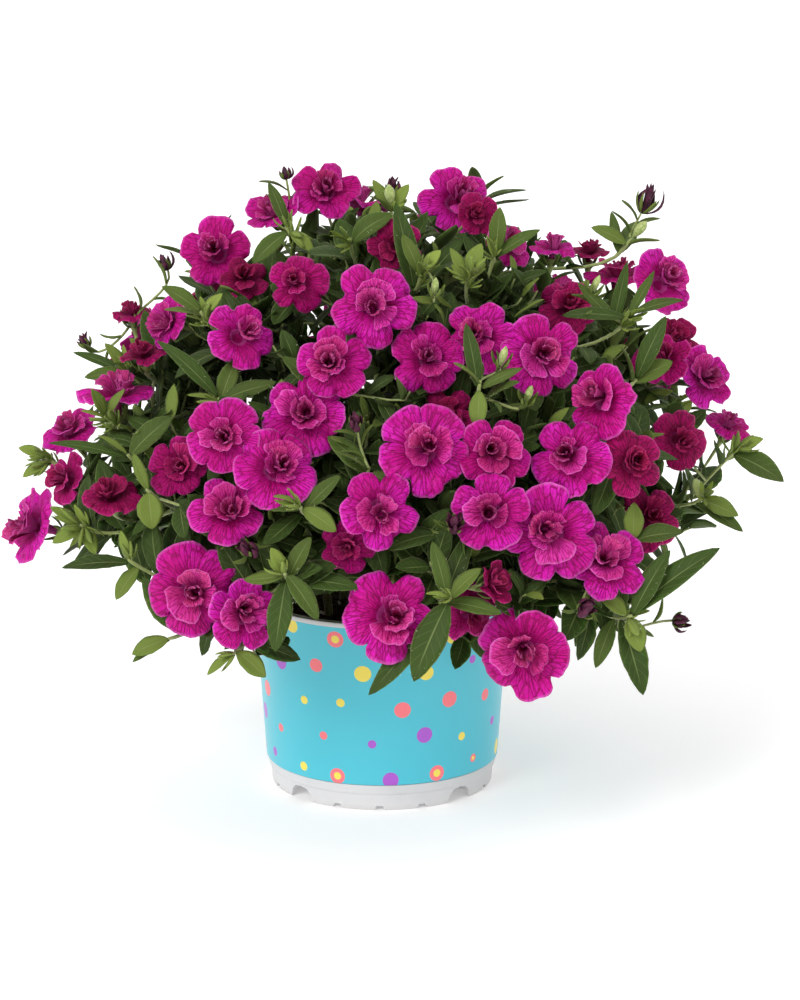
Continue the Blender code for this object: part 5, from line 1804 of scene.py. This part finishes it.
def furled(root: Vector, tip: Vector, radius: float) -> Mesh:
    """A furled, spirally pleated bud.

    Args:
        root: Its foot.
        tip: Its point.
        radius: Its widest radius.

    Returns:
        Points and faces.
    """
    rows = 12
    columns = 20
    share = (np.arange(rows) + 0.5) / rows
    swell = np.sin(pi * share ** 1.25) ** 0.8
    turns = np.arange(columns) / columns * 2 * pi
    pleat = 1 + 0.18 * np.sin(turns[None, :] * 5 + share[:, None] * 5.0) * share[:, None]
    direction = (tip - root).normalized()
    side = square_to(direction, Vector((1, 0.2, 0)))
    other = direction.cross(side)
    size = radius * swell[:, None] * pleat
    along = np.multiply.outer(share, np.array(tip - root))[:, None, :]
    rings = (np.array(root) + along + (size * np.cos(turns))[..., None] * np.array(side)
             - (size * np.sin(turns))[..., None] * np.array(other))
    return wrap(rings, np.array(root), np.array(tip))


@dataclass
class Sprigs:
    """The buds and spent blooms that show in the photograph, each on a stalk from the nearest stem."""

    foliage: Sequence[Foliage]
    draw: Draw

    leaf_spots: tuple[int, ...] = (2, 4, 6)
    leaf_length: Span = (9.0, 15.0)
    stalk_radii: Span = (0.6, 0.5)
    shrivelled: int = 9
    shrivelled_turn: float = 2.4

    def __post_init__(self) -> None:
        """Gather the bare stems."""
        self.stems = surface((leafy.solid for leafy in self.foliage), Foliage.lowest)

    def build(self, materials: Sequence[Material]) -> Thing:
        """Build every sprig.

        Args:
            materials: Blades, stems, green buds and spent petals.

        Returns:
            The object.
        """
        heap = Heap()
        maker = BladeMaker(heap, self.draw)
        for sprig in SPRIGS:
            foot = meet_dome(sprig.across, sprig.up, sprig.out)
            root, normal, _, gap = self.stems.find_nearest(foot)
            aim = (outward(foot) + Vector((0, 0, 0.7))).normalized()
            path = bend(root, normal * gap * 0.3, foot, aim * gap * 0.4, 8)
            heap.add(*tube(path, *self.stalk_radii, 6), slot=STEM, sown=1.0)
            self.add_leaves(maker, path)
            self.add_head(maker, sprig, foot, aim)
        return heap.build("buds", materials)

    def add_leaves(self, maker: BladeMaker, path: Sequence[Vector]) -> None:
        """Put a few leaves along a stalk, on either side in turn.

        Args:
            maker: The blades' maker.
            path: The stalk's points.
        """
        for place, spot in enumerate(self.leaf_spots):
            root = path[spot]
            along = (path[spot + 1] - root).normalized()
            side = square_to(along, Vector((-1.0, -0.4, 0.3)) * (-1) ** place)
            length = self.draw.uniform(*self.leaf_length)
            end = root + (side + along * self.draw.uniform(0.5, 1.0)).normalized() * length
            blade = BladeSeat(root, end, along - side * 0.5, length * 0.30, 0.12)
            maker.add(blade, BLADE, 7, 4, young=self.draw.uniform(0.1, 0.5), shade=0.5, sown=1.0)

    def add_head(self, maker: BladeMaker, sprig: Sprig, foot: Vector, aim: Vector) -> None:
        """Put a sprig's sepals and its bud or its shrivelled petals on the heap.

        Args:
            maker: The blades' maker.
            sprig: The sprig.
            foot: The end of its stalk.
            aim: The way it points.
        """
        side = square_to(aim, Vector((1, 0, 0)))
        for k in range(5):
            spoke = Matrix.Rotation(k * FIFTH + 0.3, 3, aim) @ side
            end = foot + (aim + spoke * self.draw.uniform(0.35, 0.8)).normalized() * sprig.length * 0.75
            blade = BladeSeat(foot + spoke * 0.5, end, aim - spoke, 2.2, -0.10)
            maker.add(blade, BLADE, 5, 2, young=0.6, shade=0.5, sown=1.0)
        head = furled(foot, foot + aim * sprig.length, sprig.width * 0.32)
        maker.heap.add(*head, slot=WITHERED if sprig.spent else BUD)
        for k in range(self.shrivelled * sprig.spent):
            spoke = Matrix.Rotation(k * self.shrivelled_turn, 3, aim) @ side
            lean = self.draw.uniform(0.1, 0.6)
            end = foot + (aim + spoke * lean).normalized() * sprig.length * self.draw.uniform(0.7, 1.1)
            blade = BladeSeat(foot + spoke * 0.4, end, aim * 0.3 - spoke, sprig.width * 0.6,
                              self.draw.uniform(-0.35, 0.2))
            maker.add(blade, WITHERED, 6, 4)


@dataclass(frozen=True)
class Down:
    """The fine hairs on stems, young leaves and blades' fringes; the density is hairs to a square metre."""

    density: float = 120000.0
    length: float = 1.2
    radius: float = 0.07
    seed: int = 5

    def build(self, base: Thing, material: Material) -> Thing:
        """Grow the hairs of one leafy piece.

        Args:
            base: The piece that they grow on.
            material: The hairs' material.

        Returns:
            The hairs' object.
        """
        sizes = {"Density": self.density, "Length": self.length * MM, "Radius": self.radius * MM,
                 "Seed": self.seed}
        recipe = Recipe("down", sizes)
        points, stand = recipe.sown()
        hair = recipe.add("GeometryNodeMeshCone", {"fill_type": "NGON"},
                          {"Vertices": 3, "Radius Top": 0.0, "Radius Bottom": recipe.size("Radius"),
                           "Depth": recipe.size("Length")})
        lean = recipe.chance((-0.5, -0.5, -3.0), (0.5, 0.5, 3.0), "FLOAT_VECTOR", 3)
        grown = recipe.stood(points, hair, stand, lean, recipe.chance(0.5, 1.2))
        return recipe.bake(base, base.name.replace("foliage", "down"), grown, material)


@dataclass(frozen=True)
class Crumbs:
    """Small lumps strewn over the soil; the density is lumps to a square metre."""

    name: str
    density: float
    radius: float
    seed: int

    def build(self, base: Thing, material: Material) -> Thing:
        """Strew the lumps.

        Args:
            base: The soil.
            material: The lumps' material.

        Returns:
            The lumps' object.
        """
        sizes = {"Density": self.density, "Radius": self.radius * MM, "Seed": self.seed}
        recipe = Recipe(self.name, sizes)
        points, stand = recipe.sown()
        lump = recipe.add("GeometryNodeMeshIcoSphere", {},
                          {"Radius": recipe.size("Radius"), "Subdivisions": 1})
        turn = recipe.chance((-3.0, -3.0, -3.0), (3.0, 3.0, 3.0), "FLOAT_VECTOR", 3)
        swell = recipe.chance((0.5, 0.4, 0.3), (1.5, 1.1, 0.9), "FLOAT_VECTOR", 8)
        grown = recipe.stood(points, lump, stand, turn, swell)
        return recipe.bake(base, self.name, grown, material)


@dataclass(frozen=True)
class Calyces:
    """The five narrow sepals behind each bloom."""

    seats: Sequence[BloomSeat]
    draw: Draw

    length: float = 9.0
    width: float = 2.0
    below: float = 0.6
    apart: float = 0.9

    def build(self, material: Material) -> Thing:
        """Build every calyx.

        Args:
            material: The sepals' material.

        Returns:
            The object.
        """
        heap = Heap()
        maker = BladeMaker(heap, self.draw)
        for seat in self.seats:
            foot = seat.centre - seat.facing * (seat.radius * Foliage.foot_depth + self.below)
            for k in range(5):
                out = Matrix.Rotation((k + 0.5) * FIFTH, 3, seat.facing) @ seat.first
                aim = (seat.facing + out * self.draw.uniform(0.45, 0.75)).normalized()
                root = foot + out * self.apart
                tip = root + aim * self.length * self.draw.uniform(0.85, 1.1)
                blade = BladeSeat(root, tip, -out + seat.facing * 0.5, self.width, -0.10)
                maker.add(blade, BLADE, 5, 2, young=0.45, shade=0.5)
        return heap.build("calyces", [material])


def softened(outline: Sequence[Span], radius: float) -> list[Span]:
    """An open outline with its inner corners rounded.

    Args:
        outline: Radius and height of each corner.
        radius: How far from a corner its rounding starts, at most.

    Returns:
        The rounded outline.
    """
    corners = [Vector(corner) for corner in outline]
    result = [outline[0]]
    for before, corner, after in zip(corners, corners[1:], corners[2:]):
        near = corner + (before - corner).normalized() * min(radius, (before - corner).length * 0.4)
        far = corner + (after - corner).normalized() * min(radius, (after - corner).length * 0.4)
        result += [tuple(near), tuple(corner * 0.5 + (near + far) * 0.25), tuple(far)]
    return result + [outline[-1]]


def turned(outline: Sequence[Span], segments: int) -> np.ndarray:
    """An outline turned about the pot's axis.

    Args:
        outline: Radius and height of each corner.
        segments: How many places each ring has.

    Returns:
        Points, as ring, place round it, axis.
    """
    rings = np.array(outline)
    turns = -np.arange(segments) / segments * 2 * pi
    across = rings[:, :1] * np.sin(turns)
    deep = rings[:, :1] * -np.cos(turns)
    return np.stack([across, deep, np.broadcast_to(rings[:, 1:], across.shape)], axis=-1)


def capped(rings: np.ndarray) -> Mesh:
    """The closed skin of an outline turned about the axis, which it leaves and comes back to."""
    return wrap(rings[1:-1], rings[0, 0], rings[-1, 0])


@dataclass(frozen=True)
class Pot:
    """The moulded pot: a fine lathe with the foot's arches and notches and the floor's drains cut out."""

    segments: int = 180
    edge: float = 0.5
    under: Outline = ((0, 0), (14, 0), (14.8, 3), (47, 3), (47.4, 0), (49, 0))
    outside: Outline = ((49.6, 7.2), (50.3, 7.8), (51.4, 12), (50.6, 12), (55.4, 83.8), (57.6, 83.8),
                        (57.6, 86), (53.8, 86))
    inside: Outline = ((49, 12), (47.7, 4.8), (0, 4.8))
    arch: Outline = ((-7.2, -1), (7.2, -1), (5.6, 3.84), (3.6, 5.9), (0, 6.4), (-3.6, 5.9), (-5.6, 3.84))
    arches: int = 4
    notch: Outline = ((-2.7, -1), (2.7, -1), (1.4, 2.0), (-1.4, 2.0))
    notch_turns: tuple[float, ...] = (-22, 0, 22)
    turn: float = -1.0
    cut_from: float = 44.0
    cut_to: float = 52.0
    drain_ring: float = 32.0
    drain: Outline = ((0, -1), (3.5, -1), (3.5, 6), (0, 6))
    sharp: float = 34.0

    def build(self, material: Material) -> Thing:
        """Build the pot.

        Args:
            material: Its plastic.

        Returns:
            The object.
        """
        heap = Heap()
        outline = softened(self.under + self.outside + self.inside, self.edge)
        heap.add(*capped(turned(outline, self.segments)))
        thing = heap.build("pot_moulding", [material])
        cuts = self.cuts()
        cutter = thing.modifiers.new("Cuts", "BOOLEAN")
        cutter.object = cuts
        cutter.solver = "EXACT"
        settle(thing)
        bpy.data.objects.remove(cuts)
        thing.data.set_sharp_from_angle(angle=radians(self.sharp))
        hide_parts("pot")
        return thing

    def cuts(self) -> Thing:
        """Shape what cuts the foot's openings and the floor's drains.

        Returns:
            The bars and plugs as one object.
        """
        heap = Heap()
        for k in range(self.arches):
            quarter = 360 / self.arches * k
            heap.add(*self.bar(self.arch, quarter + 180 / self.arches + self.turn))
            for notch_turn in self.notch_turns:
                heap.add(*self.bar(self.notch, quarter + notch_turn + self.turn))
            spot = radians(quarter + 180 / self.arches)
            plug = turned(self.drain, 24) + np.array([sin(spot), -cos(spot), 0]) * self.drain_ring
            heap.add(*capped(plug))
        return heap.build("cuts", [])

    def bar(self, outline: Sequence[Span], turn: float) -> Mesh:
        """A bar that lies along a radius.

        Args:
            outline: Its ends' corners across and up, anticlockwise seen from outside.
            turn: Degrees from the front.

        Returns:
            Points and faces.
        """
        count = len(outline)
        ends = [(across, -away, up) for away in (self.cut_to, self.cut_from) for across, up in outline]
        points = np.array(ends) @ np.array(Matrix.Rotation(radians(turn), 3, "Z")).T
        faces = [tuple(range(count)), tuple(range(2 * count - 1, count - 1, -1))]
        for i in range(count):
            k = (i + 1) % count
            faces.append((i, i + count, k + count, k))
        return points, faces


@dataclass(frozen=True)
class Sleeve:
    """The printed film round the pot, its end lapped over at the back."""

    segments: int = 240
    rows: int = 14
    low: float = 12.3
    high: float = 83.5
    inner_low: float = 50.9
    inner_high: float = 55.7
    thickness: float = 0.7
    lap_from: float = 172.0
    lap_to: float = 196.0
    lap: float = 0.35
    slack: float = 0.16
    sharp: float = 40.0

    def build(self, material: Material) -> Thing:
        """Build the sleeve.

        Args:
            material: Its print.

        Returns:
            The object.
        """
        inner = np.linspace((self.inner_low, self.low), (self.inner_high, self.high), self.rows)
        outer = inner + (self.thickness, 0)
        rings = turned(np.concatenate([outer, inner[::-1]]), self.segments)
        degrees = np.arange(self.segments) / self.segments * 360
        lapped = np.clip((degrees - 360 + self.lap_to) * 4, 0, 1) * (degrees < 360 - self.lap_from)
        for row in range(self.rows):
            for place in range(self.segments):
                ring = rings[row, place]
                swell = self.lap * lapped[place] + self.slack * fractal(Vector(ring * 0.03), 1.0, 2.0, 2)
                ring[:2] *= 1 + max(swell, 0.0) / np.hypot(ring[0], ring[1])
        index = np.arange(rings.size // 3).reshape(rings.shape[:2])
        above = np.roll(index, -1, axis=0)
        quads = np.stack([index, above, np.roll(above, -1, axis=1), np.roll(index, -1, axis=1)], axis=-1)
        heap = Heap()
        heap.add(rings.reshape(-1, 3), quads.reshape(-1, 4).tolist())
        thing = heap.build("sleeve_film", [material])
        thing.data.set_sharp_from_angle(angle=radians(self.sharp))
        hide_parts("label_sleeve")
        return thing


@dataclass(frozen=True)
class Soil:
    """The potting soil, uneven on top."""

    segments: int = 96
    across: tuple[float, ...] = (52.6, 51.6, 49, 46, 43, 40, 37, 34, 31, 28, 25, 22, 19, 16, 13, 10, 7, 4, 2)
    rim_height: float = 75.4
    crown: float = 2.4
    under: Outline = ((0, 5.2), (47.2, 5.2), (48.4, 12))
    rough: float = 1.3

    def build(self, material: Material) -> Thing:
        """Build the soil.

        Args:
            material: Its peat.

        Returns:
            The object.
        """
        widest = self.across[0]
        top = [(reach, self.rim_height + self.crown * (1 - reach / widest) ** 0.8) for reach in self.across]
        rings = turned(list(self.under) + top + [(0, self.rim_height + self.crown)], self.segments)
        first = len(self.under) + 1
        for ring in rings[first:-1]:
            for point in ring:
                point[2] += self.rough * (fractal(Vector(point * 0.16), 0.7, 2.0, 4) - 0.3)
        sown = np.repeat((np.arange(1, len(rings) - 1) > first).astype(float), self.segments)
        heap = Heap()
        heap.add(*capped(rings), sown=np.append(sown, [0.0, 1.0]))
        thing = heap.build("potting_soil_top", [material])
        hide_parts("soil")
        return thing


class Camera:
    """The photograph's viewpoint."""

    def build(self) -> None:
        """Place the camera and make it the scene's own."""
        lens = bpy.data.cameras.new("camera")
        lens.sensor_width = SENSOR
        lens.lens = SENSOR * VIEW_DISTANCE / FRAMED_HEIGHT
        lens.clip_end = 20.0
        camera = linked("camera", lens)
        camera.location = EYE * MM
        camera.rotation_euler = (-VIEW_BACK).to_track_quat("-Z", "Y").to_euler()
        bpy.context.scene.camera = camera


@dataclass(frozen=True)
class Lamp:
    """One far, soft studio lamp: the way that it stands, how wide it looks and how bright it is."""

    name: str
    way: tuple[float, float, float]
    width: float
    strength: float

    def build(self) -> None:
        """Hang the lamp."""
        light = bpy.data.lights.new(self.name, "SUN")
        light.angle = radians(self.width)
        light.energy = self.strength
        lamp = linked(self.name, light)
        lamp.location = self.way
        lamp.rotation_euler = Vector(self.way).to_track_quat("Z", "Y").to_euler()


@dataclass(frozen=True)
class Studio:
    """A plain pale floor, an even sky and three soft lamps."""

    lamps: tuple[Lamp, ...] = (
        Lamp("key", (-0.62, -1.0, 0.86), 26.0, 1.64),
        Lamp("fill", (0.9, -0.8, 1.1), 60.0, 0.28),
        Lamp("rear", (0.3, 1.0, 1.0), 60.0, 0.45),
    )
    sky: float = 0.76
    floor_half: float = 14000.0

    def build(self) -> None:
        """Build the floor, the sky and the lamps."""
        scene = bpy.context.scene
        scene.view_settings.view_transform = "Standard"
        world = bpy.data.worlds.new("sky")
        world.use_nodes = True
        sky = world.node_tree.nodes["Background"].inputs
        sky["Color"].default_value = (1.0, 1.0, 1.0, 1.0)
        sky["Strength"].default_value = self.sky
        scene.world = world
        for lamp in self.lamps:
            lamp.build()
        half = self.floor_half * MM
        mesh = bpy.data.meshes.new("floor")
        corners = [(-half, -half, 0), (half, -half, 0), (half, half, 0), (-half, half, 0)]
        mesh.from_pydata(corners, [], [(0, 1, 2, 3)])
        mesh.materials.append(FLOOR.build())
        floor = linked("floor", mesh)
        floor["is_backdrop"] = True


def triangles(thing: Thing) -> int:
    """Count a visible mesh's triangles.

    Args:
        thing: Any object.

    Returns:
        How many it shows.
    """
    if thing.type != "MESH" or thing.hide_render:
        return 0
    return sum(len(face.vertices) - 2 for face in thing.data.polygons)


def seat_piece(thing: Thing, slot: Slot) -> None:
    """Let a finished piece ride on the part's one body and report it.

    Args:
        thing: The piece.
        slot: The record's slot for the piece; not used.
    """
    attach(thing, "root")
    LOG.info("%s: %d triangles", thing.name, triangles(thing))


class Plant:
    """The calibrachoa, node by node."""

    def __init__(self, nodes: dict[str, Thing]) -> None:
        """Keep the CAD nodes and make the finishes.

        Args:
            nodes: The CAD objects by name.
        """
        self.nodes = nodes
        self.draw = np.random.default_rng(SEED)
        self.seats: list[BloomSeat] = []
        self.foliage: list[Foliage] = []
        self.petal_paint = {tone: finish.build() for tone, finish in PETALS.items()}
        self.paints = [finish.build() for finish in (LEAVES, STEMS, BUDDED, SPENT)]
        self.hair_paint = DOWN.build()

    def named(self, start: str) -> list[str]:
        """The nodes whose names start alike, in order."""
        return sorted(node for node in self.nodes if node.startswith(start))

    def add_blooms(self) -> BVHTree:
        """Build every bloom in its solid's place.

        Returns:
            The bloom solids' surface.
        """
        solids = []
        for name in self.named("bloom"):
            solid = Solid(self.nodes[name])
            solids.append(solid)
            found = solid.blooms()
            self.seats += found
            heap = Heap()
            tones = [seat.tone(self.draw) for seat in found]
            kinds = sorted(set(tones), key=lambda tone: tone.value)
            for seat, tone in zip(found, tones):
                BloomMaker(seat, heap, kinds.index(tone), self.draw).build()
            thing = heap.build(name + "_petals", [self.petal_paint[tone] for tone in kinds])
            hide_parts(name)
            seat_piece(thing, Slot.PETAL)
        seat_piece(Calyces(self.seats, self.draw).build(self.paints[0]), Slot.GREEN)
        return surface(solids)

    def add_greens(self, petals: BVHTree) -> None:
        """Build stems, leaves, buds and their down.

        Args:
            petals: The bloom solids' surface.
        """
        for name in self.named("leafy"):
            foliage = Foliage(Solid(self.nodes[name]), self.seats, petals, self.draw)
            self.foliage.append(foliage)
            thing = foliage.build(self.paints)
            seat_piece(thing, Slot.GREEN)
            LOG.info("%s: %d blades, %d twigs, %d more leaves", name, len(foliage.blades), foliage.twigs,
                     foliage.leaves)
            seat_piece(Down().build(thing, self.hair_paint), Slot.GREEN)
        seat_piece(Sprigs(self.foliage, self.draw).build(self.paints), Slot.GREEN)


def main() -> None:
    """Build the plant, its pot and the studio in order."""
    logging.basicConfig(level=logging.INFO, format="%(message)s")
    for thing in list(bpy.data.objects):
        bpy.data.objects.remove(thing)
    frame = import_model()
    cad_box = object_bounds()
    Camera().build()
    Studio().build()
    plant = Plant(frame["nodes"])
    plant.add_greens(plant.add_blooms())
    seat_piece(Pot().build(PLASTIC.build()), Slot.POT)
    seat_piece(Sleeve().build(PRINT.build()), Slot.SLEEVE)
    peat = PEAT.build()
    soil = Soil().build(peat)
    seat_piece(soil, Slot.SOIL)
    seat_piece(Crumbs("peat_crumbs", 110000.0, 1.3, 2).build(soil, peat), Slot.SOIL)
    seat_piece(Crumbs("perlite", 9000.0, 1.6, 4).build(soil, PERLITE.build()), Slot.SOIL)
    bpy.context.view_layer.update()
    write_sizes(cad_box)


def write_sizes(cad_box: Sequence[Sequence[float]]) -> None:
    """Gather the CAD box and the visual model's box.

    Args:
        cad_box: The lowest and highest corners straight after loading.
    """
    boxes = [[list(map(float, corner)) for corner in box] for box in (cad_box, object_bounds())]


if __name__ == "__main__":
    main()
